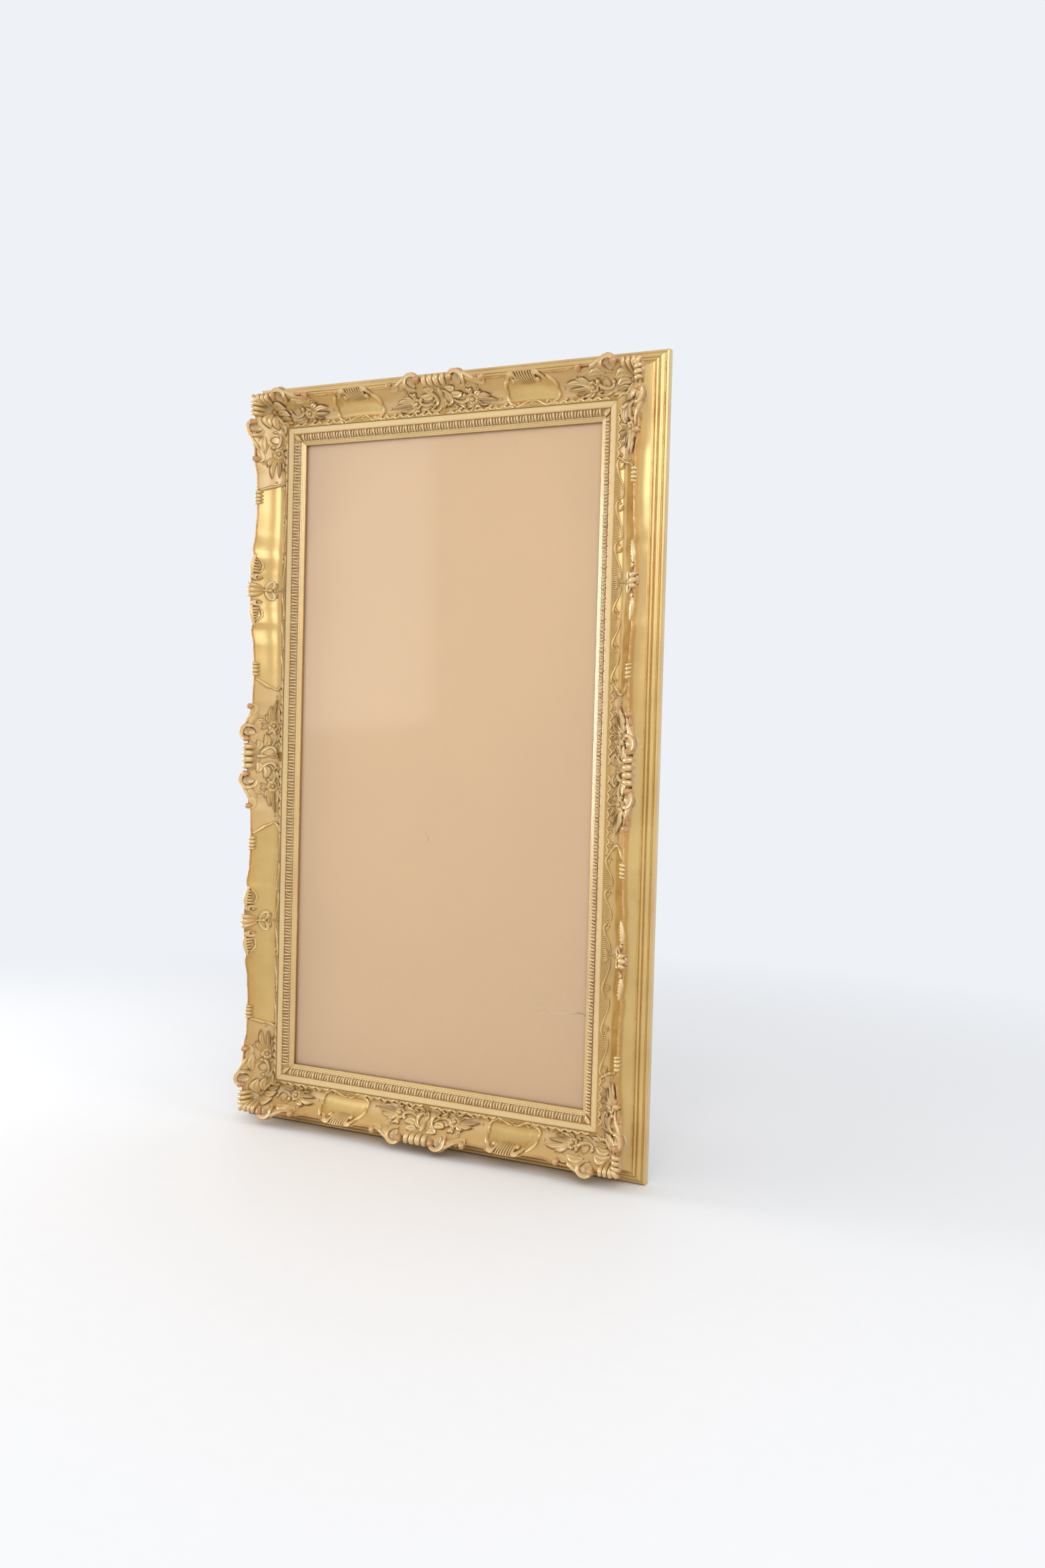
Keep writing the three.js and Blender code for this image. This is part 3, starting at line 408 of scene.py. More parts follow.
class Carving:
    """Closed shapes laid on one chart, gathered into one mesh with a finish at each vertex"""

    straight = np.eye(2)
    mirrored = np.array([[-1.0, 0.0], [0.0, 1.0]])
    swapped = np.array([[0.0, 1.0], [1.0, 0.0]])

    def __init__(self, chart=None):
        self.chart = chart
        self.hand = self.straight
        self.points = []
        self.finish = []
        self.faces = []
        self.slots = []
        self.count = 0

    def add(self, grid, finish=None, slots=None, loop=False):
        """A ring swept along the first axis and closed by caps, or into a loop.

        slots has a material for each strip.
        """
        rings, size = grid.shape[:2]
        finish = np.zeros((rings, size, 4)) if finish is None else finish
        slots = np.zeros(size, int) if slots is None else np.asarray(slots)
        swept = np.concatenate([grid, grid[:1]]) if loop else grid
        if signed_volume(swept) < 0:
            grid, finish, slots = grid[:, ::-1], finish[:, ::-1], np.roll(slots[::-1], -1)
        index = self.count + np.arange(rings * size).reshape(rings, size)
        course = np.vstack([index, index[:1]]) if loop else index
        ahead = np.roll(course, -1, axis=1)
        quads = np.stack([course[:-1], course[1:], ahead[1:], ahead[:-1]], -1).reshape(-1, 4)
        self.faces.extend(map(tuple, quads.tolist()))
        self.slots.extend(np.tile(slots, len(course) - 1).tolist())
        if not loop:
            self.faces.extend([tuple(index[0].tolist()), tuple(index[-1, ::-1].tolist())])
            self.slots.extend([int(slots[-1])] * 2)
        self.points.append(grid.reshape(-1, 3))
        self.finish.append(finish.reshape(-1, 4))
        self.count += rings * size

    def stroke(
        self, path, width, height, lift=0.0, sink=1.6, steps=12, ring=7, top=dome, lobes=0,
        rim=0.4, tip=0.2, tone=0.7, matte=0.6, cream=0.3,
    ):
        """A tapering carved stroke along a path on the chart"""
        line = self.chart.fit(spline(path, steps) @ self.hand)
        share = np.linspace(0, 1, steps + 1)
        half, rise, base = (along(value, share)[:, None] for value in (width, height, lift))
        half, rise = np.maximum(half, 0.1), np.maximum(rise, 0.05)
        if lobes:
            half = half * (0.7 + 0.3 * np.abs(np.sin(np.pi * lobes * share[:, None])))
        course = np.gradient(line, axis=0)
        course /= np.maximum(np.linalg.norm(course, axis=1), 1e-9)[:, None]
        across = np.cos(np.linspace(0, np.pi, ring))
        crown = top(across)
        u = line[:, :1] + half * across * course[:, 1:]
        v = line[:, 1:] - half * across * course[:, :1]
        raised = base + rise * crown - 0.2 * (1 - crown)
        u, v = np.hstack([u, line[:, :1]]), np.hstack([v, line[:, 1:]])
        lifts = np.hstack([raised, base - sink])
        level = np.append(crown, 0)
        edge = np.append(smooth(np.abs(across), 0.5, 0.95), 1)
        finish = np.empty(u.shape + (4,))
        finish[..., WEAR_AND_SHADE] = np.clip(rim * edge + tip * smooth(share, 0.6, 1)[:, None], 0, 1)
        # Toning grows down the sides to the stroke's foot as painted shade
        finish[..., TONING_AND_SHADE] = tone * (1 - level) ** 1.5
        finish[..., MATTE] = matte
        finish[..., CREAM] = cream
        self.add(self.chart.place(u, v, lifts), finish)

    def turned(self, place, profile, worn=0.2, sides=18, squash=1.0):
        """A dish, boss or plate: (radius, lift, toning) from its middle outwards and then under it"""
        u, v = self.chart.fit((np.asarray(place, float) @ self.hand)[None])[0]
        radius, lift, toned = np.array(profile, float).T[:, :, None]
        turn = np.linspace(0, 2 * math.pi, sides, endpoint=False)
        ring_u, ring_v = u + radius * np.cos(turn), v + squash * radius * np.sin(turn)
        finish = np.zeros(ring_u.shape + (4,))
        finish[..., WEAR_AND_SHADE] = worn
        finish[..., TONING_AND_SHADE] = toned
        finish[..., MATTE] = 0.6
        finish[..., CREAM] = 0.15
        self.add(self.chart.place(ring_u, ring_v, lift + 0 * ring_u), finish)

    def bead(self, place, radius, lift=0.0, height=None, sink=1.6, worn=0.25):
        """A round boss"""
        rise = radius if height is None else height
        profile = []
        # Toning grows towards the bead's foot and under it as painted shade
        for turn in np.radians((86, 60, 35, 12)):
            out, up = math.cos(turn), math.sin(turn)
            profile.append((radius * out, lift + rise * up, 0.5 * (1 - up)))
        profile += [(0.8 * radius, lift - sink, 0.8), (0.1, lift - sink, 0.8)]
        self.turned(place, profile, worn, 12)

    def leaf(self, base, point, width, rise=3.6, curl=2.4, bend=0.0, **more):
        """A leaf with a grooved midrib whose point lifts off the ground"""
        start, end = np.array(base, float), np.array(point, float)
        run = end - start
        middle = (start + end) / 2 + bend * np.array([-run[1], run[0]])
        settings = {"steps": 12, "ring": 9, "top": veined, "rim": 0.3, "tip": 0.45, "sink": 2.4, **more}
        widths = width * np.array([0.4, 0.9, 1.0, 0.78, 0.15])
        rises = rise * np.array([0.5, 0.9, 1.0, 0.85, 0.4])
        lifts = curl * np.array([0.0, 0.15, 0.45, 1.0])
        self.stroke([start, middle, end], widths, rises, lifts, **settings)

    def spray(self, base, points, width, **more):
        for point, bend in points:
            self.leaf(base, point, width, bend=bend, **more)

    def rosette(self, place, radius, petals=6):
        centre = np.array(place, float)
        for turn in np.radians(np.arange(petals) * 360 / petals + 15):
            way = np.array([math.cos(turn), math.sin(turn)])
            ends = centre + 0.2 * radius * way, centre + radius * way
            self.leaf(*ends, 0.46 * radius, 0.3 * radius, 0.22 * radius, steps=8, sink=3, tip=0.2)
        self.bead(place, 0.36 * radius, 0.24 * radius, sink=3.5, worn=0.55)

    def scroll(self, path, width, height, lift=1.5, ball=1.4, worn=0.5, **more):
        """A C-scroll: a channelled band that swells along its path and ends in a ball"""
        widths = width * np.array([0.3, 0.75, 1.0, 1.0, 0.85])
        rises = height * np.array([0.45, 0.85, 1.0, 1.0, 0.9])
        settings = {"steps": 24, "ring": 9, "top": channelled, "rim": 0.6, "tip": 0.1, **more}
        self.stroke(path, widths, rises, lift, **settings)
        level = float(np.atleast_1d(lift)[-1])
        self.bead(path[-1], ball * width, level, height * 1.15, settings.get("sink", 2.0), worn)

    def build(self, name, materials, position):
        """The mesh object; position(points) gives world metres and whether the faces flip"""
        world, flip = position(np.vstack(self.points))
        faces = [face[::-1] for face in self.faces] if flip else self.faces
        mesh = bpy.data.meshes.new(name)
        mesh.from_pydata(world.tolist(), [], faces)
        mesh.polygons.foreach_set("material_index", np.array(self.slots, np.int32))
        mesh.polygons.foreach_set("use_smooth", np.ones(len(faces), bool))
        finish = mesh.attributes.new("finish", "FLOAT_COLOR", "POINT")
        finish.data.foreach_set("color", np.vstack(self.finish).astype(np.float32).ravel())
        mesh.set_sharp_from_angle(angle=SHARP_ANGLE)
        mesh.update()
        for material in materials:
            mesh.materials.append(material)
        piece = bpy.data.objects.new(name, mesh)
        bpy.context.scene.collection.objects.link(piece)
        return piece


# Places of the sides and corners in the frame

SIDE_WAYS = {
    "top": ((1, 0), (0, 1)),
    "right": ((0, -1), (1, 0)),
    "bottom": ((-1, 0), (0, -1)),
    "left": ((0, 1), (-1, 0)),
}
CORNER_HANDS = {
    "top_right": (1, 1),
    "bottom_right": (1, -1),
    "bottom_left": (-1, -1),
    "top_left": (-1, 1),
}


def world_points(x, z, height):
    return np.column_stack([x * MM, wall_plane - height * MM, frame_middle + z * MM])


def side_reach(plan, side):
    return plan.half["short" if KINDS[side] == "long" else "long"]


def on_side(plan, side, shift=0.0, hand=1):
    """Position of local points on a side; a hand of -1 mirrors them about the ornament's own middle"""
    (ax, az), (ox, oz) = SIDE_WAYS[side]
    reach = side_reach(plan, side)

    def position(local):
        s, o = hand * local[:, 0] + shift, local[:, 1] + reach
        return world_points(s * ax + o * ox, s * az + o * oz, local[:, 2]), hand < 0
    return position


def in_corner(plan, corner):
    hand_x, hand_z = CORNER_HANDS[corner]

    def position(local):
        x = hand_x * (plan.half["short"] + local[:, 0])
        z = hand_z * (plan.half["long"] + local[:, 1])
        return world_points(x, z, local[:, 2]), hand_x * hand_z < 0
    return position


def in_opening(local):
    """Position of local points measured from the middle of the opening"""
    return world_points(local[:, 0], local[:, 1], local[:, 2]), False


def box_in_opening(node):
    """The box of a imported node, from the middle of the opening and forward from the wall"""
    corners = np.array([tuple(corner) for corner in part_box(node)]) / MM
    x, y, z = corners.T
    return np.sort(np.stack([x, z - frame_middle / MM, wall_plane / MM - y], -1), axis=0)


def dress(piece, body, slot, *nodes):
    """The piece rides on its body and stands for its nodes; its slot is not used"""
    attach(piece, body)
    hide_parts(*nodes)
    return piece


# Rails

HOLLOW_POINTS = 36
CREST_POINTS = 7
COVE_POINTS = 14
RAIL_STEP = 3.5
GILT, BARE = 0, 1
UNIT_LENGTH = 72.0
BORDER_UNIT = (
    (1.5, 45.5), (2.5, 50.5), (10, 53.5), (26, 50.5), (44, 43.5),
    (58, 40), (67, 41.5), (70.5, 46.5), (65.5, 48.5),
)
HATCH_FOOT = 38.0
SCALLOP_LENGTH = 17.0
RIBBON_OFFSETS = (96, 88, 80, 74.5, 66, 58, 50, 43.5)
INNER_RIBBON = {
    "long": (28, 20, 12, 10, 5, 7, 15, 24),
    "short": (22, 12, 8, 9, 7, 8, 13, 24),
}
OUTER_RIBBON = {
    "long": (5, 1, -4, -5, -8, -10, -14, -18),
    "short": (12, 2, -2, -1, -3, -2, 3, 14),
}


def stations(half, step, extra=()):
    """Places along a side at its sight edge, mirrored about the middle"""
    plain = np.linspace(0, half - MITRE_GAP, int(half / step) + 1)
    places = np.unique(np.concatenate([plain, np.asarray(extra, float)]))
    return np.concatenate([-places[:0:-1], places])


def fanned(half, q, offset):
    """Stations stand square to the side, and fan out to the mitre near its ends"""
    lean = np.clip((np.abs(q) - half + MITRE_FAN) / MITRE_FAN, 0, 1) * np.sign(q)
    return q[:, None] + lean[:, None] * offset


def ribbon_places(plan, kind):
    """The two ribbons that close a panel, from the crest to the toe"""
    inner = [plan.centre_field + place for place in INNER_RIBBON[kind]]
    outer = [plan.panel_end(kind) - place for place in OUTER_RIBBON[kind]]
    inner, outer = (list(zip(places, RIBBON_OFFSETS)) for places in (inner, outer))
    return inner, outer


def border_units(plan, kind):
    """Scrolls of the border, from the middle of a panel out to its two ribbons"""
    middle = plan.panel_middle(kind)
    inner, outer = ribbon_places(plan, kind)
    units = []
    for way, end in ((-1, inner[-1][0]), (1, outer[-1][0])):
        reach = abs(end - middle)
        count = max(1, round(reach / UNIT_LENGTH))
        scale = reach / count / UNIT_LENGTH
        for i in range(count):
            start = middle + way * i * reach / count
            units.append([(start + way * scale * place, offset) for place, offset in BORDER_UNIT])
    return units


def border_edge(plan, kind, s):
    """Offset of the border's ridge at places along a panel"""
    ridge = np.array(sorted(point for unit in border_units(plan, kind) for point in unit[1:7]))
    return np.interp(np.abs(s), ridge[:, 0], ridge[:, 1])


def field_mask(plan, kind, s, offset):
    """1 on the matte ornament fields and border, 0 on the burnished panel that they enclose"""
    drawn = plan.drawn(offset)
    edges = []
    for ribbon in ribbon_places(plan, kind):
        places, offsets = np.array(ribbon).T
        edges.append(np.interp(drawn, offsets[::-1], places[::-1]))
    past_inner, past_outer = (smooth(np.abs(s), edge - 1, edge + 1) for edge in edges)
    above_border = smooth(drawn - border_edge(plan, kind, s), -1, 1)
    return 1 - past_inner * (1 - past_outer) * above_border


def rail_body(carving, plan, kind):
    """The swept rail itself: toe, hollow, rounded crest, cove and bare back"""
    half = plan.half[kind]
    knots = plan.lines[kind][0]
    q = stations(half, RAIL_STEP, knots[knots < half - MITRE_FAN])
    drop = plan.drop(kind, fanned(half, q, plan.crest))
    inner_crest = plan.crest - drop
    hollow_share = np.linspace(0, 1, HOLLOW_POINTS)
    offset = plan.toe + (inner_crest - plan.toe) * hollow_share
    height = plan.hollow(drop, offset)
    turn = np.linspace(math.pi, 0, CREST_POINTS + 2)[1:-1]
    crest_top = plan.crest_height - SWEEP_FALL * drop
    crest_offset = inner_crest + CREST_WIDTH / 2 * (1 + np.cos(turn))
    crest_fall = CREST_ROUND * smooth(turn, math.pi / 2, 0)
    crest_height = crest_top + 2 * CREST_ROUND * np.sin(turn) - crest_fall
    share = np.linspace(0, 1, COVE_POINTS)
    outer_crest = inner_crest + CREST_WIDTH
    cove_run = (plan.cove_foot - outer_crest) * share
    cove_offset = outer_crest + cove_run - COVE_DEPTH * np.sin(math.pi * share)
    cove_top = crest_top - CREST_ROUND
    seat_height = plan.back_height + FIT_GAP
    cove_height = cove_top + (seat_height - cove_top) * share
    leg = plan.seat - FIT_GAP
    ones = np.ones_like(drop)
    back = [
        (leg, seat_height),
        (leg, plan.inner_back),
        (plan.toe, plan.inner_back),
        (plan.toe, plan.toe_height - 1),
    ]
    offsets = np.hstack([offset, crest_offset, cove_offset] + [ones * o for o, _ in back])
    heights = np.hstack([height, crest_height, cove_height] + [ones * h for _, h in back])
    s = fanned(half, q, offsets)
    front = HOLLOW_POINTS + CREST_POINTS
    finish = np.zeros(s.shape + (4,))
    finish[..., MATTE] = 0.35
    finish[:, :HOLLOW_POINTS, MATTE] = field_mask(plan, kind, s[:, :HOLLOW_POINTS], offset)
    # Toning at the toe of the hollow is painted shade in that crease
    finish[:, :HOLLOW_POINTS, TONING_AND_SHADE] = 0.5 * smooth(hollow_share, 0.1, 0.0)
    finish[:, HOLLOW_POINTS - 1:front, WEAR_AND_SHADE] = 0.75
    # Toning at the foot of the cove is painted shade in that crease
    finish[:, front:front + COVE_POINTS, TONING_AND_SHADE] = 0.3 * smooth(share, 0.6, 1)
    finish[:, front:front + COVE_POINTS, MATTE] = 0.0
    slots = np.full(s.shape[1], GILT)
    slots[front + COVE_POINTS - 1:] = BARE
    carving.add(np.stack([s, offsets, heights], -1), finish, slots)


def carve_border(carving, plan, kind):
    """The scrolled ridge along a panel, with hatching down to the toe and a ball in each curl"""
    for unit in border_units(plan, kind):
        carving.stroke(
            unit, (1.2, 1.9, 2.2, 2.0, 2.2, 1.9, 1.4), (1.8, 2.6, 3.0, 2.7, 3.0, 2.6, 2.0),
            steps=36, ring=8, rim=0.55, tone=0.4, matte=0.15,
        )
        carving.bead(unit[-1], 2.4, 0.8, 2.2)
        carving.bead(unit[0], 2.2, 0.6, 2.2)
        start, run = unit[1][0], unit[6][0] - unit[1][0]
        for share in np.linspace(0.02, 0.62, 10):
            foot = start + share * run
            reach = float(np.interp(share, (0, 0.3, 1), (50, 49, 42)))
            middle = (foot + 0.02 * run, (HATCH_FOOT + reach) / 2)
            path = [(foot, HATCH_FOOT), middle, (foot + 0.05 * run, reach)]
            carving.stroke(path, (1.4, 1.5, 0.5), (1.1, 1.4, 0.5), steps=6, ring=6, tone=0.9)
        tip = start + 0.93 * run
        carving.leaf((tip - 0.16 * run, 44.5), (tip, 52), 3.0, 2.6, 1.6, bend=0.25)


def carve_field_border(carving, low, high):
    """A scalloped ridge along the toe under an ornament field, with leaf tips that hang from it"""
    count = max(2, round((high - low) / SCALLOP_LENGTH))
    places = np.linspace(low, high, count + 1)
    for i, (start, end) in enumerate(zip(places, places[1:])):
        run = end - start
        odd = i % 2
        bow = [(start, 39), (start + 0.5 * run, 42.5 + 2.5 * odd), (end, 39)]
        carving.stroke(bow, (1.3, 2.6, 1.3), (2.0, 4.0, 2.0), steps=10, rim=0.3, matte=0.3)
        tip = (start + (0.95 if odd else 0.15) * run, 50 if odd else 48)
        carving.leaf((start + 0.5 * run, 42), tip, 3.6, 2.8, 1.8, bend=0.25 if odd else -0.25)


def carve_ribbons(carving, plan, kind):
    """The two ribbons that close a panel, each with a ball at its waist and at its foot"""
    for ribbon in ribbon_places(plan, kind):
        carving.stroke(
            ribbon, (2.4, 3.4, 4.0, 2.8, 4.0, 3.4, 2.4), (3.0, 5.0, 6.0, 4.6, 6.0, 5.0, 3.4),
            steps=36, ring=8, rim=0.4, tone=0.3, matte=0.05,
        )
        carving.bead(ribbon[3], 3.4, 1.2, 3.4)
        carving.bead(ribbon[-1], 3.0, 0.8, 3.2)


def carve_tuft(carving, plan, kind, middle, hand):
    """Four short gadroons across the crest"""
    for place, size in zip((-12, -4, 4, 11), (4.0, 4.6, 4.2, 3.2)):
        s = middle + hand * place
        crest = DRAWN_CREST - float(plan.drop(kind, np.array([s]))[0])
        path = [(s - hand * 2, crest - 7), (s, crest + 1), (s + hand * 2, crest + 7)]
        widths = size * np.array([0.5, 1.0, 0.95, 0.45])
        carving.stroke(
            path, widths, (1.6, 4.6, 5.0, 2.4), (0, 1.5, 1.0),
            sink=6, steps=10, ring=8, tip=0.5,
        )


def carve_patch(carving, middle):
    """Patch on the crest of a short side's panel: a hatched shell between two C-scrolls"""
    for k in np.linspace(-1, 1, 8):
        line = ((14 * k, 85 + 2 * abs(k)), (19 * k, 98), (21 * k, 108 - 2 * k * k))
        path = [(middle + place, offset) for place, offset in line]
        carving.stroke(
            path, (1.0, 2.2, 2.6, 1.4), (1.2, 3.0, 3.8, 1.6), (0, 0.8, 1.4),
            sink=4, steps=9, ring=7,
        )
    scroll = ((46, 92), (38, 98), (30, 105), (22, 104), (21, 96), (27, 93))
    for hand in (-1, 1):
        path = [(middle + hand * place, offset) for place, offset in scroll]
        carving.scroll(path, 3.0, 4.6, 1.2, sink=4.0)


def carve_rail(plan, kind):
    """A swept rail with its panels, borders and ribbons"""
    carving = Carving(RailChart(plan, kind))
    rail_body(carving, plan, kind)
    inner, outer = ribbon_places(plan, kind)
    for hand in (Carving.straight, Carving.mirrored):
        carving.hand = hand
        carve_border(carving, plan, kind)
        carve_ribbons(carving, plan, kind)
        carve_field_border(carving, 9, inner[-1][0])
        carve_field_border(carving, outer[-1][0], plan.half[kind] + 22)
        if kind == "long":
            carve_tuft(carving, plan, kind, plan.centre_field + 50, 1)
            carve_tuft(carving, plan, kind, plan.panel_end(kind) - 22, -1)
        else:
            carve_patch(carving, plan.panel_middle(kind))
    return carving


# Ornament

# Rings of the turned parts, from the middle outwards and then under: radius, lift and toning; the toning
# in the bowls is a wash, and on the plates and backings behind the carving and under each part it is
# painted shade
BOWL = (
    (0.3, -1.5, 0.9),
    (4, -1.2, 0.9),
    (6.5, 0.2, 0.8),
    (8.4, 2.2, 0.5),
    (9, 1.4, 0.4),
    (9, -7, 0.6),
    (0.3, -8, 0.6),
)
CORNER_PLATE = (
    (0.3, 0.2, 0.9),
    (18, 0.2, 0.9),
    (23, -1.5, 0.9),
    (24, -4, 0.7),
    (22, -12, 0.7),
    (0.3, -13, 0.7),
)
CENTRE_PLATE = (
    (0.3, 0.2, 0.9),
    (26, 0.2, 0.9),
    (32, -1.5, 0.9),
    (34, -4, 0.7),
    (32, -11, 0.7),
    (0.3, -12, 0.7),
)
CLASP_PLATE = (
    (0.3, 0, 0.9),
    (11, 0, 0.9),
    (13.5, -3, 0.7),
    (12, -9, 0.7),
    (0.3, -10, 0.7),
)
BACKING = (
    (0.3, -2.5, 0.9),
    (12, -2.5, 0.9),
    (15.5, -3.5, 0.8),
    (16, -5, 0.7),
    (15, -10, 0.7),
    (0.3, -10, 0.7),
)
VOLUTE_LIFT = (0.5, 1.5, 2.5, 3.0, 3.5)


def carve_rib(carving, path, size, **more):
    """A knuckled rib of a shell, high at the crest and worn at its outer end"""
    settings = {"sink": 12, "steps": 18, "ring": 9, "rim": 0.5, "tip": 0.6, "tone": 1.0, **more}
    widths = size * np.array([0.5, 0.85, 1.0, 1.0, 0.7])
    rises = size * np.array([0.5, 1.0, 1.2, 1.15, 0.6])
    carving.stroke(path, widths, rises, (0, 1.5, 1.5, 0.5), **settings)


def carve_volute(carving, path, bowl, skirt):
    """A bold C-scroll round a toned bowl: a worn ball ends it, and a skirt runs down to the crest"""
    carving.turned(np.mean(path, axis=0), BACKING)
    carving.turned(bowl, BOWL)
    carving.stroke(
        skirt, (3.6, 4.0, 3.2, 1.4), (5.0, 5.0, 3.8, 1.6), (1.0, 0.6, 0.3),
        sink=11, steps=20, ring=9, rim=0.8, tip=0.5,
    )
    web = [(place, out - 6) for place, out in skirt]
    carving.stroke(
        web, (6.0, 7.0, 6.0, 3.0), (2.0, 2.2, 1.8, 0.8), -0.8,
        sink=9, steps=16, ring=9, tone=0.5,
    )
    carving.scroll(path, 4.4, 8.0, VOLUTE_LIFT, ball=1.6, worn=0.8, sink=13, steps=40, rim=1.0)


def carve_bud(carving, place, way):
    """A worn knob on the outer side of the crest, on a stem that curls under it"""
    centre = np.array(place, float)
    carving.bead(centre, 6.2, 1.0, 6.4, 9.0, 0.8)
    stem = [(-20.0, -3.5), (-11.0, -6.0), (-1.0, -8.0), (6.0, -5.0)]
    path = [centre + np.array([way * along_crest, out]) for along_crest, out in stem]
    carving.stroke(
        path, (2.4, 4.2, 3.8, 1.6), (3.0, 4.8, 4.4, 2.0), 0.4,
        sink=8, steps=18, ring=9, top=channelled, rim=0.8,
    )


# The two arches by the middle: one opens towards it and one away from it
CENTRE_ARCHES = (
    ((1, 91), (11, 89), (19, 81), (19, 70), (11, 61), (4, 65)),
    ((32, 90), (22, 88), (15, 80), (15, 70), (22, 62), (29, 66)),
)

# Places along the crest from the middle, and out from the crest
CENTRE_VOLUTE = (
    (52, -12), (61, -10), (67, -3.5), (66, 5),
    (59, 11.5), (49, 13.5), (41, 10), (38, 4),
)
CENTRE_SKIRT = ((60, 9.5), (71, 5.5), (82, 0), (93, -6))


def carve_centre(plan):
    """Shell and opposed C-scrolls over the crest, with stems, leaves and rosettes in the hollow"""
    hollow, shelf = RailChart(plan, "long"), RailChart(plan, "long", shelf=1.0)
    carving = Carving(shelf)
    crest = DRAWN_CREST
    carving.turned((0, crest - 4), CENTRE_PLATE, squash=0.42, sides=28)
    for place, size in zip((-21.5, -7.2, 7.2, 21.5), (6.4, 7.2, 7.2, 6.4)):
        line = ((0.8, -10), (0.93, -3), (1.0, 5), (1.0, 11))
        carve_rib(carving, [(share * place, crest + out) for share, out in line], size)
    carving.chart = hollow
    tongue = ((0, 97), (0, 88), (0, 78))
    carving.stroke(tongue, (2.6, 4.8, 4.0, 1.4), (3.0, 6.0, 5.5, 2.0), 1.0, steps=12, ring=9)
    carving.leaf((0, 78), (0, 52), 5.6, 5.0, 4.0, lobes=2, steps=18)
    for hand in (Carving.straight, Carving.mirrored):
        carving.hand = hand
        carving.chart = shelf
        volute = [(s, crest + out) for s, out in CENTRE_VOLUTE]
        skirt = [(s, crest + out) for s, out in CENTRE_SKIRT]
        carve_volute(carving, volute, (53, crest + 0.5), skirt)
        carve_bud(carving, (108, crest - 2), 1)
        carving.chart = hollow
        arch = CENTRE_ARCHES[0 if hand is Carving.straight else 1]
        carving.scroll(arch, 3.4, 6.4, 1.2, ball=1.3, steps=34, rim=0.4, matte=0.25)
        stem = ((18, 77), (28, 69), (40, 65), (52, 67), (57, 73), (51, 78))
        carving.scroll(stem, 3.2, 5.4, 1.0, ball=1.3, steps=30, rim=0.4, matte=0.3)
        curl = ((7, 56), (13, 48), (23, 46), (30, 51), (25, 57))
        carving.scroll(curl, 3.0, 5.0, 1.0, steps=22, rim=0.4, matte=0.3)
        carving.leaf((21, 84), (48, 84), 6.4, 5.2, 3.8, bend=-0.16, steps=22)
        carving.leaf((14, 94), (36, 95), 5.0, 4.2, 2.6, bend=-0.14, steps=18)
        carving.leaf((30, 62), (50, 47), 5.6, 4.6, 3.4, bend=0.16, steps=20)
        carving.bead((27, 78), 3.6, 1.5)
        tips = (
            ((124, 62), 0.05),
            ((110, 74), 0.12),
            ((106, 51), -0.12),
            ((91, 83), 0.16),
            ((88, 44), -0.16),
        )
        carving.spray((70, 69), tips, 4.2, rise=4.6, curl=3.8, steps=18, rim=0.5, tip=0.7, tone=0.9)
        carving.spray((66, 66), (((71, 41), -0.1), ((57, 45), 0.14)), 3.8, rise=4.2, curl=3.2, tip=0.7)
        carving.spray((66, 74), (((73, 90), 0.16), ((58, 90), -0.16)), 3.8, rise=4.2, curl=2.8, tip=0.7)
        carving.rosette((66, 69), 13.0)
        carving.rosette((83, 90), 6.4, 5)
        carving.bead((130, 63), 2.6, 0.6)
    return carving


# Places back along the crest from the corner, and out from the crest
CORNER_VOLUTE = (
    (73, -12), (82, -10), (88, -3.5), (87, 4),
    (80, 10), (70, 11.5), (62, 8.5), (59, 2.5),
)
CORNER_SKIRT = ((81, 8.5), (93, 4), (106, -2), (119, -8))


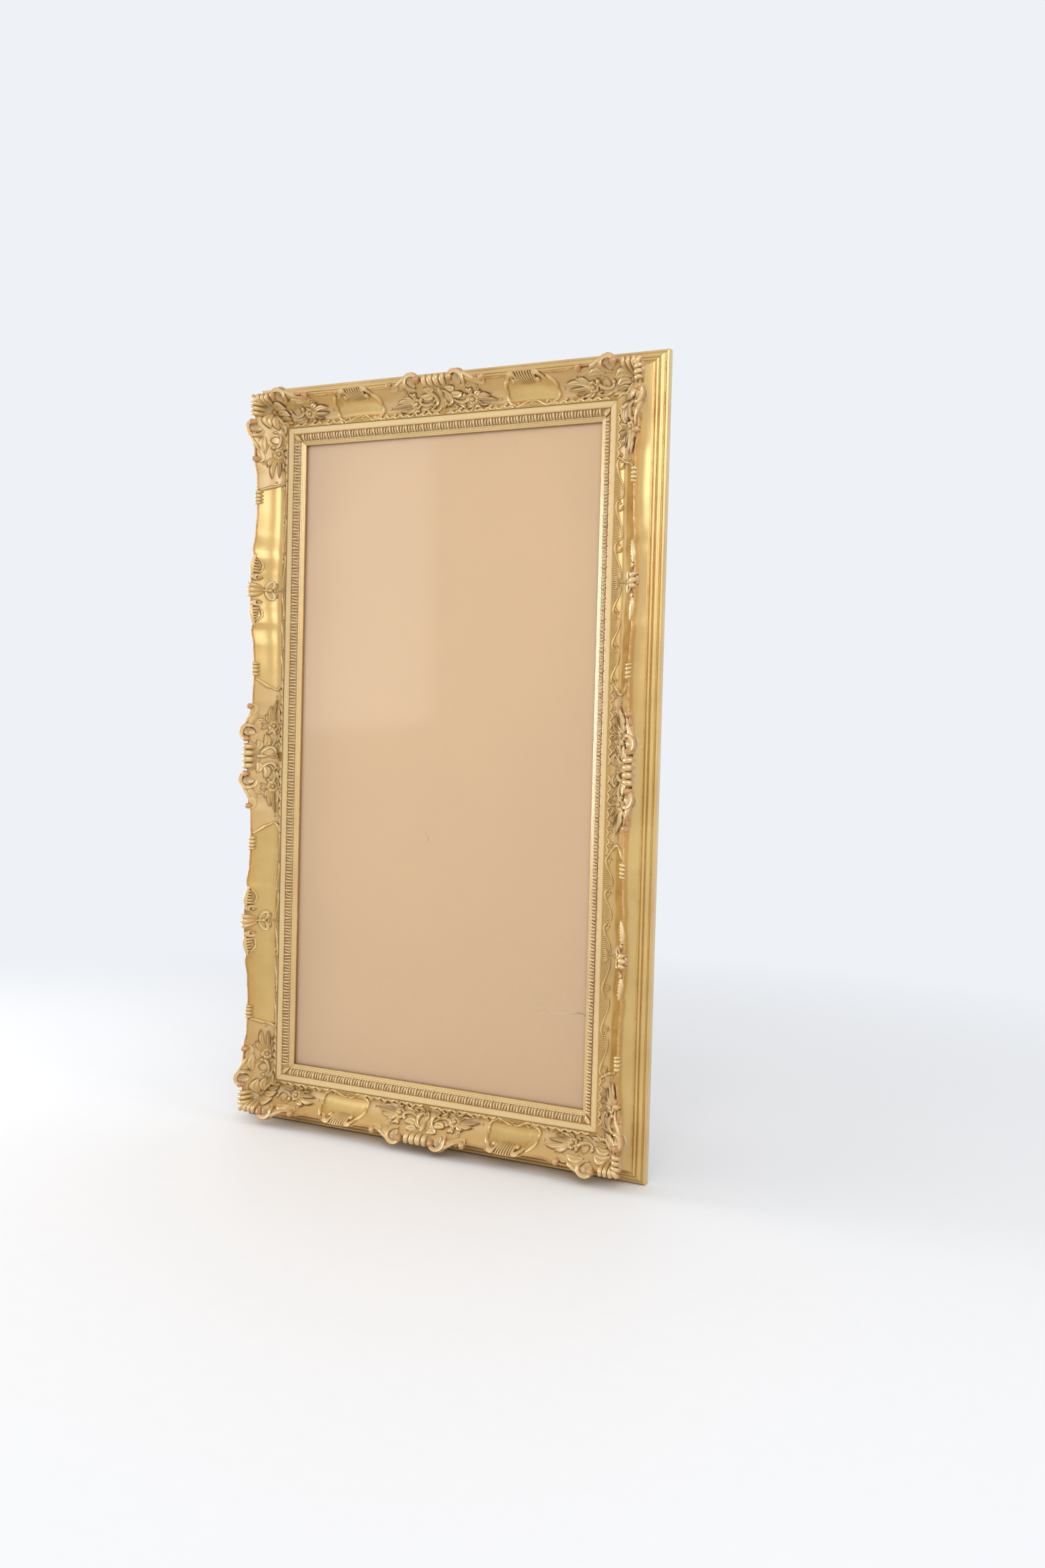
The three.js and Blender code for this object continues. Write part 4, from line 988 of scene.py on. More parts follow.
def carve_corner(plan):
    """Ribbed shell round the outer corner, C-scrolls along both legs, and leafwork about the mitre"""
    hollow, shelf = CornerChart(plan), CornerChart(plan, shelf=1.0)
    carving = Carving(shelf)
    crest = DRAWN_CREST
    carving.turned((crest - 19, crest - 19), CORNER_PLATE, sides=28)
    carve_rib(carving, [(89, 89), (97, 97), (105, 105), (111, 111)], 6.4)
    carving.chart = hollow
    carving.bead((77, 77), 6.0, 2.0, 6.0, worn=0.8)
    ridge = ((75, 71), (67, 59), (57, 50), (46, 49), (37, 38.5))
    carving.stroke(
        ridge, (2.0, 4.4, 4.8, 4.4, 3.6, 1.4), (3, 6.0, 6.5, 6.0, 5.0, 2.4), 1.0,
        steps=28, ring=9, lobes=5, rim=0.6,
    )
    for hand in (Carving.straight, Carving.swapped):
        carving.hand = hand
        carving.chart = shelf
        for reach, low, size in ((13, 90, 5.4), (25.5, 90, 5.4), (37.5, 92, 5.0)):
            foot = crest - 0.8 * reach - 6
            bend = crest - 0.95 * reach - 2
            path = [(foot, low), (bend, 100), (crest - reach, 108), (crest - reach, 114)]
            carve_rib(carving, path, size)
        volute = [(crest - back, crest + out) for back, out in CORNER_VOLUTE]
        skirt = [(crest - back, crest + out) for back, out in CORNER_SKIRT]
        carve_volute(carving, volute, (crest - 73, crest - 0.5), skirt)
        wing = (crest - 88, crest - 14), (crest - 122, crest - 15)
        carving.leaf(*wing, 5.0, 4.6, 2.0, bend=-0.08, sink=7, steps=22)
        carve_bud(carving, (crest - 138, crest - 4), -1)
        carving.chart = hollow
        carving.leaf((76, 83), (38, 86), 7.0, 5.6, 4.0, bend=-0.16, steps=24)
        carving.leaf((72, 74), (35, 70), 7.0, 5.6, 4.0, bend=-0.14, steps=24)
        carving.leaf((64, 64), (33, 56), 6.0, 5.0, 3.4, bend=-0.12, steps=22)
        carving.leaf((56, 54), (27, 46), 5.0, 4.2, 2.6, bend=-0.1, steps=18)
        dish = ((77, 82), (79, 72), (87, 65.5), (98, 66.5), (107, 72), (110, 80))
        carving.turned((crest - 94, 76), BOWL)
        carving.scroll([(crest - c, o) for c, o in dish], 3.4, 5.8, 1.0, ball=1.4, steps=30, rim=0.5)
        curl = ((26, 55), (14, 48), (2, 47), (-6, 53), (0, 58))
        carving.scroll(curl, 3.0, 4.8, 1.0, steps=22, rim=0.4, matte=0.3)
        carving.leaf((4, 88), (-18, 93), 5.0, 4.2, 2.8, bend=-0.2, steps=16)
        tips = (
            ((-70, 80), -0.1),
            ((-67, 68), 0.03),
            ((-54, 56), 0.14),
            ((-46, 88), -0.16),
            ((-36, 45), 0.16),
        )
        carving.spray((-20, 70), tips, 4.2, rise=4.6, curl=3.8, steps=18, rim=0.5, tip=0.7, tone=0.9)
        carving.spray((-16, 66), (((-22, 43), 0.1), ((-4, 60), -0.1)), 3.8, rise=4.0, curl=2.8, tip=0.7)
        carving.rosette((-16, 70), 12.5)
        carving.rosette((-36, 92), 5.8, 5)
        carving.bead((30, 77), 3.6, 1.5)
        carving.bead((-77, 72), 2.4, 0.6)
    return carving


def carve_clasp(plan):
    """Small shell on the crest between leafy bowls, with a bow and a string of beads in the hollow"""
    middle = plan.panel_middle("long")
    hollow = RailChart(plan, "long", middle)
    shelf = RailChart(plan, "long", middle, shelf=0.6)
    carving = Carving(shelf)
    crest = DRAWN_CREST
    carving.turned((0, crest - 5), CLASP_PLATE)
    for lean, size in ((-12, 0.9), (12, 0.9), (0, 1.1)):
        path = [(0.3 * lean, crest - 15), (0.75 * lean, crest - 4), (lean, crest + 8 * size)]
        widths = size * np.array([2.6, 5.6, 6.0, 2.6])
        carving.stroke(
            path, widths, (2.0, 5.5, 6.5, 2.4), (0, 1.5, 1.5),
            sink=10, steps=16, ring=9, tip=0.7,
        )
    carving.chart = hollow
    carving.stroke([(0, 94), (0, 80)], (2.4, 2.8, 2.0), (3.0, 3.6, 3.0), 0.6, steps=8)
    carving.bead((0, 82), 4.4, 1.5, 4.6)
    for i in range(5):
        carving.bead((0, 73 - 4.8 * i), 2.9 - 0.25 * i, 0.4)
    for place in np.linspace(-12, 12, 7):
        path = [(0.35 * place, 52 - 0.15 * abs(place)), (0.8 * place, 45), (place, 39)]
        carving.stroke(path, (0.8, 1.8, 2.0, 0.8), (1.0, 2.8, 3.0, 1.0), 0.6, steps=9, ring=7)
    for hand in (Carving.straight, Carving.mirrored):
        carving.hand = hand
        carving.chart = shelf
        bowl_rim = arc((28, crest - 8), (7.0, 3.0), 205, -130, 9)
        carving.scroll(bowl_rim, 2.8, 5.0, 1.0, ball=1.4, worn=0.8, sink=6)
        swell = ((33, -1), (46, 0.5), (60, -2), (77, -7))
        outer_rim = [(place, crest + offset) for place, offset in swell]
        carving.stroke(
            outer_rim, (1.8, 3.4, 3.8, 3.0, 1.2), (2.4, 4.4, 4.8, 4.0, 1.6), 0.8,
            sink=7, steps=22, ring=9, rim=0.7,
        )
        inner_rim = [(36, crest - 10), (45, crest - 14), (57, crest - 15), (70, crest - 9)]
        carving.stroke(
            inner_rim, (1.0, 2.0, 2.0, 0.9), (1.4, 3.0, 3.0, 1.2), 0.4,
            sink=6, steps=20, ring=8, lobes=4,
        )
        for k in range(5):
            foot = 38 + 6.4 * k
            size = 1 - 0.09 * k
            low, high = crest - 12 + 0.6 * k, crest + 1 - 1.2 * k
            path = [(foot, low), (foot + 2, crest - 6), (foot + 3.5, high)]
            widths = size * np.array([2.0, 3.4, 3.4, 1.8])
            carving.stroke(path, widths, (2.0, 4.4, 4.8, 2.0), 0.4, sink=6, steps=10, ring=8, tone=1.0)
        carving.chart = hollow
        bow = ((1, 89), (9, 88), (18, 82), (18, 75), (9, 75), (3, 79))
        carving.scroll(bow, 3.0, 4.8, 0.8, ball=1.0, steps=26)
        carving.leaf((2, 80), (16, 68), 3.6, 3.2, 2.4, bend=-0.2, steps=12)
    return carving


# Back rail and slip

# Grooves and beads across the back rail's slope: start, end, rise and number of points
REEDS = (
    (0.0, 0.15, -1.8, 5),
    (0.15, 0.34, 1.6, 9),
    (0.34, 0.4, -1.0, 4),
    (0.4, 0.72, 2.2, 12),
    (0.72, 0.8, -1.0, 4),
    (0.8, 1.0, 1.6, 9),
)
SLOPE_FOOT = 15.0
EDGE_HEIGHT = 14.0
EDGE_ROUND = 2.0
RIB_SPACING = 3.4
RIB_LEAN = 1.5


def swept_outline(plan, kind, outline, step):
    """A section drawn along a side and mitred at its ends"""
    offset, height = outline.T
    s = fanned(plan.half[kind], stations(plan.half[kind], step), offset)
    return np.stack(np.broadcast_arrays(s, offset, height), -1)


def carve_back_rail(plan, kind):
    """Reeded back moulding: fillet, quirk, two beads and a rounded outer edge; its back is bare"""
    carving = Carving()
    start = plan.cove_foot
    top = plan.back_height
    slope_start = np.array([start + 1.0, top - 0.6])
    slope_end = np.array([plan.outer - 0.3, SLOPE_FOOT])
    out = np.array([slope_start[1] - slope_end[1], slope_end[0] - slope_start[0]])
    out = out / np.linalg.norm(out)
    points = [(plan.seat, top), (start, top)]
    worn = [0.0, 0.0]
    for low, high, rise, count in REEDS:
        for share in np.linspace(0.02, 0.98, count):
            where = slope_start + (slope_end - slope_start) * (low + (high - low) * share)
            points.append(tuple(where + out * rise * math.sin(math.pi * share) ** 0.7))
            # The grooves get bole, partly as painted shade in them
            worn.append(0.45 if rise < 0 else 0.05)
    points += [
        (plan.outer, EDGE_HEIGHT),
        (plan.outer, EDGE_ROUND),
        (plan.outer - 0.3 * EDGE_ROUND, 0.3 * EDGE_ROUND),
        (plan.outer - EDGE_ROUND, 0.0),
        (plan.seat, 0.0),
    ]
    outline = np.array(points)
    grid = swept_outline(plan, kind, outline, 24.0)
    finish = np.zeros(grid.shape[:2] + (4,))
    finish[..., MATTE] = 0.12
    finish[:, :len(worn), WEAR_AND_SHADE] = worn
    # Toning in the grooves is painted shade
    finish[:, :len(worn), TONING_AND_SHADE] = 0.5 * np.array(worn)
    finish[:, -5:-1, WEAR_AND_SHADE] = 0.25
    slots = np.full(len(outline), GILT)
    slots[-3:] = BARE
    carving.add(grid, finish, slots)
    return carving


def slip_body(carving, plan, kind):
    """The slip's section: sight edge, lip, sunk ground of the band, groove, flat and rebated back"""
    chart = SlipChart(plan)
    lip = np.array([0.0, 0.5, 2.6, 3.0, 3.4, 6.2, 6.6, 7.0, LIP_WIDTH])
    lip_cut = np.array([0.8, 0.0, 0.0, 0.5, 0.0, 0.0, 0.5, 0.0, 0.0])
    band = LIP_WIDTH + BAND_WIDTH * (1 - np.cos(np.linspace(0, math.pi / 2, 8)[1:]))
    groove = np.array([band[-1] + 0.1, band[-1] + GROOVE_WIDTH - 0.1, band[-1] + GROOVE_WIDTH])
    flat = np.linspace(groove[-1] + 0.6, plan.slip - 0.5, 5)
    front = np.concatenate([lip, band, groove, flat, [plan.slip]])
    height = chart.height(0 * front, front)
    height[:len(lip)] -= lip_cut
    groove_at = len(lip) + len(band)
    height[len(lip):groove_at - 1] -= BAND_SINK
    height[groove_at:groove_at + 2] -= GROOVE_DEPTH
    flat_at = groove_at + 3
    height[flat_at:flat_at + 5] += FLAT_RISE * np.linspace(0.15, 1, 5)
    height[-1] = plan.flat_height - 0.6
    lip_back = plan.flat_height - FLAT_RISE - BAND_RISE - LIP_RISE - LIP_THICKNESS
    back = [
        (plan.slip, plan.inner_back),
        (REBATE, plan.inner_back),
        (REBATE, lip_back),
        (0.0, lip_back),
    ]
    outline = np.vstack([np.column_stack([front, height]), back])
    grid = swept_outline(plan, kind, outline, 40.0)
    finish = np.zeros(grid.shape[:2] + (4,))
    finish[:, :len(lip), MATTE] = 0.25
    finish[:, :len(lip), CREAM] = 0.3
    # The sight edge and the lip's wall facing the opening are painted bole-brown, partly as painted
    # shade on that wall
    finish[:, 0, WEAR_AND_SHADE] = 0.8
    finish[:, -1, WEAR_AND_SHADE] = 1.0
    finish[:, len(lip) - 1:groove_at, MATTE] = 0.9
    # The band's sunk ground shows bole, and is darkened further with toning as painted shade between the
    # ribs
    finish[:, len(lip):groove_at, WEAR_AND_SHADE] = 0.65
    finish[:, len(lip):groove_at, TONING_AND_SHADE] = 0.9
    # The groove is painted dark with bole, partly as painted shade
    finish[:, groove_at - 1:groove_at + 2, WEAR_AND_SHADE] = 0.9
    finish[:, flat_at + 1:flat_at + 4, CREAM] = 0.7
    slots = np.full(len(outline), GILT)
    slots[len(front):-1] = BARE
    carving.add(grid, finish, slots)


def carve_slip(plan, kind):
    """Sight slip and its leaf-tip band: pairs of ribs, upright and leaning in turn, parted by bars"""
    carving = Carving(SlipChart(plan))
    slip_body(carving, plan, kind)
    half = plan.half[kind]
    pitch = plan.leaf_pitch
    low, high = LIP_WIDTH + 0.6, LIP_WIDTH + BAND_WIDTH - 0.4
    middle = (low + high) / 2
    reach = int((half - 4) / pitch)
    # Painted highlight: the bars are painted pale cream to stand out light against the dark ground, and
    # the ribs nearly as pale
    painted_highlight = {"rim": 0.0, "tip": 0.0, "tone": 0.0, "matte": 0.2, "cream": 1.0}
    plain = {"rim": 0.1, "tip": 0.0, "tone": 0.1, "matte": 0.3, "cream": 0.85}
    for i in range(-reach, reach + 1):
        lean = RIB_LEAN if i % 2 else 0.0
        for place in (i * pitch - RIB_SPACING, i * pitch + RIB_SPACING):
            path = [(place - lean, low + 0.2), (place, middle), (place + lean, high - 0.6)]
            carving.stroke(
                path, (1.4, 1.7, 1.7, 1.4), (1.8, 3.0, 2.8, 1.6), -0.8,
                steps=6, ring=7, **plain,
            )
    for i in range(-reach, reach + 2):
        bar = (i - 0.5) * pitch
        path = [(bar, low - 3.0), (bar, low + 0.4), (bar, middle), (bar, high)]
        carving.stroke(
            path, (0.8, 1.3, 2.1, 2.1, 1.7), (1.2, 2.4, 3.8, 3.6, 2.4), -0.2,
            steps=8, ring=7, **painted_highlight,
        )
    for hand in (Carving.straight, Carving.mirrored):
        carving.hand = hand
        tip = half - 1
        carving.leaf((tip + high, high), (tip + low - 2, low - 1), 3.8, 2.4, 0.4, steps=10)
    return carving


# Panel and fittings

PANEL_BEVEL = 0.3
BUTTON_BEVEL = 0.5
BUTTON_HOLE = 2.3
SLOT_WIDTH = 1.0
SLOT_DEPTH = 0.8
KNUCKLE_RADIUS = 2.8
KNUCKLE_BORE = 1.6
STRAP_THICKNESS = 1.2
WIRE_RADIUS = 1.3
# Screws by name, with the height of the head and whether it tapers
SCREW_HEADS = (
    ("button_screw", 1.7, False),
    ("strap_screw", 1.5, False),
    ("assembly_screw", 3.0, True),
)
KEY_WAIST = 0.5
KEY_ENDS = 0.47


def rectangle(low, high, inset=0.0):
    (left, bottom), (right, top) = np.asarray(low) + inset, np.asarray(high) - inset
    return np.array([(left, bottom), (right, bottom), (right, top), (left, top)])


def stadium(low, high, inset=0.0):
    """Outline of a bar with round ends that fills a box"""
    centre, half = (np.asarray(low) + high) / 2, (np.asarray(high) - low) / 2
    radius = min(half)
    way = (half - radius) / max(max(half - radius), 1e-9)
    turn = np.linspace(-math.pi / 2, math.pi / 2, 13) + math.atan2(way[1], way[0])
    end = (radius - inset) * np.column_stack([np.cos(turn), np.sin(turn)])
    run = half - radius
    side = np.linspace(1, -1, 9)[1:-1, None]
    there = np.vstack([run + end, side * run + end[-1]])
    return centre + np.vstack([there, -there])


def disc(centre, radius, inset=0.0):
    turn = np.linspace(0, 2 * math.pi, 28, endpoint=False)
    return np.asarray(centre) + (radius - inset) * np.column_stack([np.cos(turn), np.sin(turn)])


def half_disc(centre, radius, side, inset=0.0):
    """One half of a slotted head"""
    reach = radius - inset
    start = math.asin(SLOT_WIDTH / 2 / reach)
    turn = np.linspace(start, math.pi - start, 16)
    return np.asarray(centre) + side * reach * np.column_stack([np.cos(turn), np.sin(turn)])


def add_slab(carving, outline, levels):
    """A flat solid: the outline at each (height, inset)"""
    grid = []
    for height, inset in levels:
        ring = outline(inset)
        grid.append(np.column_stack([ring, np.full(len(ring), height)]))
    carving.add(np.stack(grid))


def add_holed_slab(carving, outline, centre, radius, levels):
    """A flat solid with a round hole, swept round the hole"""
    turn = np.linspace(-math.pi, math.pi, 64, endpoint=False)
    way = np.column_stack([np.cos(turn), np.sin(turn)])
    section = []
    for height, inset in levels:
        edge = outline(inset) - centre
        angle = np.arctan2(edge[:, 1], edge[:, 0])
        reach = np.interp(turn, angle, np.hypot(edge[:, 0], edge[:, 1]), period=2 * math.pi)
        section.append(np.column_stack([centre + way * reach[:, None], np.full(len(turn), height)]))
    for height in (levels[-1][0], levels[0][0]):
        section.append(np.column_stack([centre + way * radius, np.full(len(turn), height)]))
    carving.add(np.stack(section, axis=1), loop=True)


def add_screw(carving, centre, back, tip, radius, head, taper):
    """A slotted screw driven forwards from the back; its head tapers or is straight"""
    shank = 0.45 * radius
    crown = back + SLOT_DEPTH
    for side in (-1, 1):
        levels = ((back, 0.35 * radius), (back + 0.15 * head, 0.1 * radius), (crown, 0.02 * radius))
        levels = ((back, 0.04 * radius), (crown, 0.02 * radius)) if taper else levels
        add_slab(carving, lambda inset: half_disc(centre, radius, side, inset), levels)
    neck = radius - shank if taper else 0.0
    body = (
        (crown, 0.02 * radius),
        (back + head, neck),
        (back + head, radius - shank),
        (tip, radius - shank),
    )
    add_slab(carving, lambda inset: disc(centre, radius, inset), body)


def carve_button(low, high, pivot):
    """A turn button: a round-ended bar with eased edges and a hole for its screw"""
    carving = Carving()
    back, front = low[2], high[2]
    levels = ((back, BUTTON_BEVEL), (back + BUTTON_BEVEL, 0.0), (front - 0.2, 0.0), (front, 0.2))

    def bar(inset):
        return stadium(low[:2], high[:2], inset)

    add_holed_slab(carving, bar, pivot, BUTTON_HOLE, levels)
    return carving


def carve_strap(low, high):
    """A hanger strap: a round-ended plate whose upper end is rolled into a knuckle"""
    carving = Carving()
    knuckle = high[1] - KNUCKLE_RADIUS
    plate_high = (high[0], high[1] - KNUCKLE_RADIUS + (high[0] - low[0]) / 2)
    front = high[2]
    back = front - STRAP_THICKNESS
    outline = rectangle(low[:2], (high[0], knuckle))
    rounded = stadium(low[:2], plate_high)
    below = rounded[rounded[:, 1] <= knuckle]
    from_middle = below - outline.mean(0)
    ring = below[np.argsort(np.arctan2(from_middle[:, 1], from_middle[:, 0]))]
    middle = ring.mean(0)
    levels = ((back, 0.3), (back + 0.3, 0.0), (front, 0.0))
    add_slab(carving, lambda inset: middle + (ring - middle) * (1 - inset / 6), levels)
    turn = np.linspace(0, 2 * math.pi, 32, endpoint=False)
    section = []
    edges = ((0, KNUCKLE_BORE), (0, KNUCKLE_RADIUS), (1, KNUCKLE_RADIUS), (1, KNUCKLE_BORE))
    for end, radius in edges:
        x = high[0] if end else low[0]
        depth = front - KNUCKLE_RADIUS + radius * np.cos(turn)
        section.append(np.column_stack([np.full(len(turn), x), knuckle + radius * np.sin(turn), depth]))
    carving.add(np.stack(section, axis=1), loop=True)
    return carving


def carve_ring(low, high):
    """A hanger ring of round wire: a straight bar, two legs and a round bow"""
    carving = Carving()
    left, right = low[0] + WIRE_RADIUS, high[0] - WIRE_RADIUS
    top, bottom = high[1] - WIRE_RADIUS, low[1] + WIRE_RADIUS
    reach = (right - left) / 2
    middle = (left + right) / 2
    bow = arc((middle, bottom + reach), reach, 0, -180, 25)
    bend = 1.6
    right_bend = arc((right - bend, top - bend), bend, 90, 0, 6)
    left_bend = arc((left + bend, top - bend), bend, 180, 90, 6)
    bar = np.column_stack([np.linspace(left + bend, right - bend, 8)[1:-1], np.full(6, top)])
    path = np.vstack([right_bend, bow, left_bend, bar])
    course = np.roll(path, -1, axis=0) - np.roll(path, 1, axis=0)
    course /= np.linalg.norm(course, axis=1)[:, None]
    square = np.column_stack([course[:, 1], -course[:, 0]])
    turn = np.linspace(0, 2 * math.pi, 12, endpoint=False)
    u = path[:, :1] + WIRE_RADIUS * np.cos(turn) * square[:, :1]
    v = path[:, 1:] + WIRE_RADIUS * np.cos(turn) * square[:, 1:]
    depth = (low[2] + high[2]) / 2 + WIRE_RADIUS * np.sin(turn) + 0 * u
    carving.add(np.stack([u, v, depth], -1), loop=True)
    return carving


def carve_key(low, high):
    """A double dovetail across the mitre, with eased edges at the back"""
    carving = Carving()
    centre = (low[:2] + high[:2]) / 2
    span = (high[0] - low[0]) / math.sqrt(2)
    length = span / (1 + KEY_ENDS)
    ends, waist = KEY_ENDS * length, KEY_ENDS * length * KEY_WAIST
    half_outline = np.array([(length, ends), (0, waist), (-length, ends)])
    corners = np.vstack([half_outline, -half_outline])
    along_key, across_key = corners.T
    turned = np.column_stack([along_key + across_key, across_key - along_key]) / math.sqrt(2)
    levels = ((low[2], 0.03), (low[2] + 0.4, 0.0), (high[2], 0.0))
    add_slab(carving, lambda inset: centre + turned * (1 - inset), levels)
    return carving


def carve_panel(low, high):
    """The faced panel, with a nick and a ragged tear in its paper"""
    carving = Carving(FlatChart(high[2]))
    levels = ((low[2], 0.0), (high[2] - PANEL_BEVEL, 0.0), (high[2], PANEL_BEVEL))
    add_slab(carving, lambda inset: rectangle(low[:2], high[:2], inset), levels)
    nick = [(-37, -146), (-28, -150), (-25, -158), (-24, -166)]
    thin = {"sink": 0.1, "ring": 5}
    carving.stroke(nick, (0.8, 1.7, 1.5, 0.6), 0.12, 0.04, steps=10, rim=1.0, tip=1.0, **thin)
    tear = [
        (238, -486), (256, -483), (270, -487), (292, -482),
        (312, -486), (332, -481), (347, -484),
    ]
    torn = (1.0, 2.6, 1.5, 2.8, 1.6, 2.4, 1.8)
    carving.stroke(tear, torn, 0.14, 0.04, steps=36, rim=1.0, tip=0.6, **thin)
    flap = [(268, -489), (290, -485), (314, -489)]
    carving.stroke(flap, (0.5, 2.6, 0.6), 0.1, 0.02, steps=14, rim=0.0, tip=0.0, tone=1.0, **thin)
    return carving


# Shaders

class Socket:
    """An output of a node that takes part in plain arithmetic"""

    def __init__(self, shader, link):
        self.shader = shader
        self.link = link

    def math(self, operation, *values):
        inputs = dict(enumerate(values))
        return self.shader.add("ShaderNodeMath", {"operation": operation}, inputs)["Value"]

    def __add__(self, other):
        return self.math("ADD", self, other)

    def __radd__(self, other):
        return self.math("ADD", other, self)

    def __sub__(self, other):
        return self.math("SUBTRACT", self, other)

    def __rsub__(self, other):
        return self.math("SUBTRACT", other, self)

    def __mul__(self, other):
        return self.math("MULTIPLY", self, other)

    def __rmul__(self, other):
        return self.math("MULTIPLY", other, self)

    def __pow__(self, other):
        return self.math("POWER", self, other)

    def between(self, low, high):
        """0 at low, 1 at high and clamped outside"""
        inputs = {"Value": self, "From Min": low, "From Max": high, "To Min": 0.0, "To Max": 1.0}
        return self.shader.add("ShaderNodeMapRange", {"clamp": True}, inputs)["Result"]


class Node:
    """A node whose outputs are read by name"""

    def __init__(self, shader, node):
        self.shader = shader
        self.node = node

    def __getitem__(self, name):
        return Socket(self.shader, self.node.outputs[name])


class Shader:
    """A material's node tree"""

    def __init__(self, name, tree=None):
        if tree is None:
            self.material = bpy.data.materials.new(name)
            self.material.use_nodes = True
            tree = self.material.node_tree
        self.tree = tree
        self.tree.nodes.clear()

    def add(self, kind, settings=None, inputs=None):
        """A node of a type, with its settings made first and then its sockets' values or links"""
        node = self.tree.nodes.new(kind)
        for name, value in (settings or {}).items():
            setattr(node, name, value)
        for name, value in (inputs or {}).items():
            if isinstance(value, Socket):
                self.tree.links.new(value.link, node.inputs[name])
            else:
                node.inputs[name].default_value = value
        return Node(self, node)

    def mix(self, share, first, second):
        """A colour between two others"""
        inputs = {0: share, 6: self.colour(first), 7: self.colour(second)}
        return Socket(self, self.add("ShaderNodeMix", {"data_type": "RGBA"}, inputs).node.outputs[2])

    @staticmethod
    def colour(value):
        return value if isinstance(value, Socket) else (*value[:3], 1.0)

    def noise(self, where, scale, detail=3.0, rough=0.55):
        inputs = {"Vector": where, "Scale": scale, "Detail": detail, "Roughness": rough}
        return self.add("ShaderNodeTexNoise", None, inputs)["Fac"]

    def stretched(self, where, scale):
        inputs = {0: where, 1: scale}
        return self.add("ShaderNodeVectorMath", {"operation": "MULTIPLY"}, inputs)["Vector"]

    def bump(self, height, strength, distance):
        inputs = {"Height": height, "Strength": strength, "Distance": distance}
        return self.add("ShaderNodeBump", None, inputs)["Normal"]

    def surface(self, inputs):
        """A Principled surface joined to the output"""
        return self.finish(self.add("ShaderNodeBsdfPrincipled", None, inputs)["BSDF"])

    def blend(self, share, first, second):
        """One surface shader giving way to another"""
        return self.add("ShaderNodeMixShader", None, {0: share, 1: first, 2: second})["Shader"]

    def finish(self, shader):
        self.add("ShaderNodeOutputMaterial", None, {"Surface": shader})
        return self.material

    def where(self):
        return self.add("ShaderNodeTexCoord")["Object"]


def gilding(name, colours, polish, nearby):
    """Water gilding over red bole: leaf, rubbed edges, toned recesses, matte fields and cream paint,
    with shade painted into the recesses from an occlusion node
    """
    shader = Shader(name)
    where = shader.where()
    finish = shader.add("ShaderNodeAttribute", {"attribute_name": "finish"})
    parts = shader.add("ShaderNodeSeparateColor", None, {"Color": finish["Color"]})
    worn, toned, matte, cream = parts["Red"], parts["Green"], parts["Blue"], finish["Alpha"]
    # The occlusion node marks the recesses, where the toning and the brown are laid as painted shade
    nearness = shader.add("ShaderNodeAmbientOcclusion", {"samples": 6}, {"Distance": nearby})["AO"]
    recess = nearness.between(0.9, 0.25)
    cloud = shader.noise(where, 7.0, 4.0)
    mottle = shader.noise(where, 60.0, 5.0, 0.65)
    specks = shader.noise(where, 240.0, 3.0, 0.7)
    grain = shader.noise(where, 900.0, 2.0)
    leaf = shader.mix(cloud.between(0.35, 0.7), colours.burnished, colours.deep)
    leaf = shader.mix(matte * (0.55 + 0.45 * mottle), leaf, colours.matte)
    # Toning wash, strengthened as painted shade in the recesses found by the occlusion node and where
    # the toning channel marks shade
    toning_and_shade_mask = (toned * 0.8 + recess * 0.4 + (mottle - 0.5) * 0.9 * matte).between(0.2, 1.1)
    leaf = shader.mix(toning_and_shade_mask * 0.75, leaf, colours.toning)
    # Painted shade: brown in the deepest recesses, broken up a little by the mottle
    leaf = shader.mix((recess + (mottle - 0.5) * 0.5).between(0.35, 1.0) * 0.8, leaf, colours.shade)
    # Bole at worn edges, and as painted shade on the sight wall and in grooves
    wear_and_shade_mask = (worn * 1.2 + (mottle - 0.62) * 1.4 + (specks - 0.6) * 0.7).between(0.3, 0.95)
    leaf = shader.mix(wear_and_shade_mask * 0.85, leaf, colours.bole)
    paint = shader.mix((mottle - 0.2) * 0.35, colours.cream, colours.toning)
    colour = shader.mix(cream * 0.85, leaf, paint)
    bare_leaf = (1 - 0.9 * cream) * (1 - 0.6 * wear_and_shade_mask) * (1 - 0.5 * toning_and_shade_mask)
    metal = bare_leaf * (1 - 0.4 * matte) * 0.6
    dull = 0.16 * matte + 0.2 * toning_and_shade_mask + 0.2 * wear_and_shade_mask + 0.2 * cream
    rough = polish + dull + 0.12 * (mottle - 0.5)
    relief = grain * (0.3 + 0.7 * matte) + mottle * 0.6 + specks * matte * 1.6
    return shader.surface({
        "Base Color": colour,
        "Metallic": metal,
        "Roughness": rough,
        "Coat Weight": (1 - 0.9 * wear_and_shade_mask) * (1 - 0.5 * toning_and_shade_mask),
        "Coat IOR": 1.75,
        "Coat Roughness": 0.26,
        "Normal": shader.bump(relief, 0.3, 0.0006),
    })


def bare_wood(name, light, along_scale):
    """Sawn softwood, with its grain along the rail"""
    shader = Shader(name)
    where = shader.where()
    grain = shader.noise(shader.stretched(where, along_scale), 40.0, 6.0, 0.6)
    pores = shader.noise(shader.stretched(where, along_scale), 260.0, 3.0)
    dark = tuple(0.55 * channel for channel in light)
    colour = shader.mix(grain.between(0.3, 0.72), light, dark)
    return shader.surface({
        "Base Color": colour,
        "Roughness": 0.72 + 0.14 * pores,
        "Normal": shader.bump(grain + 0.4 * pores, 0.3, 0.0006),
    })


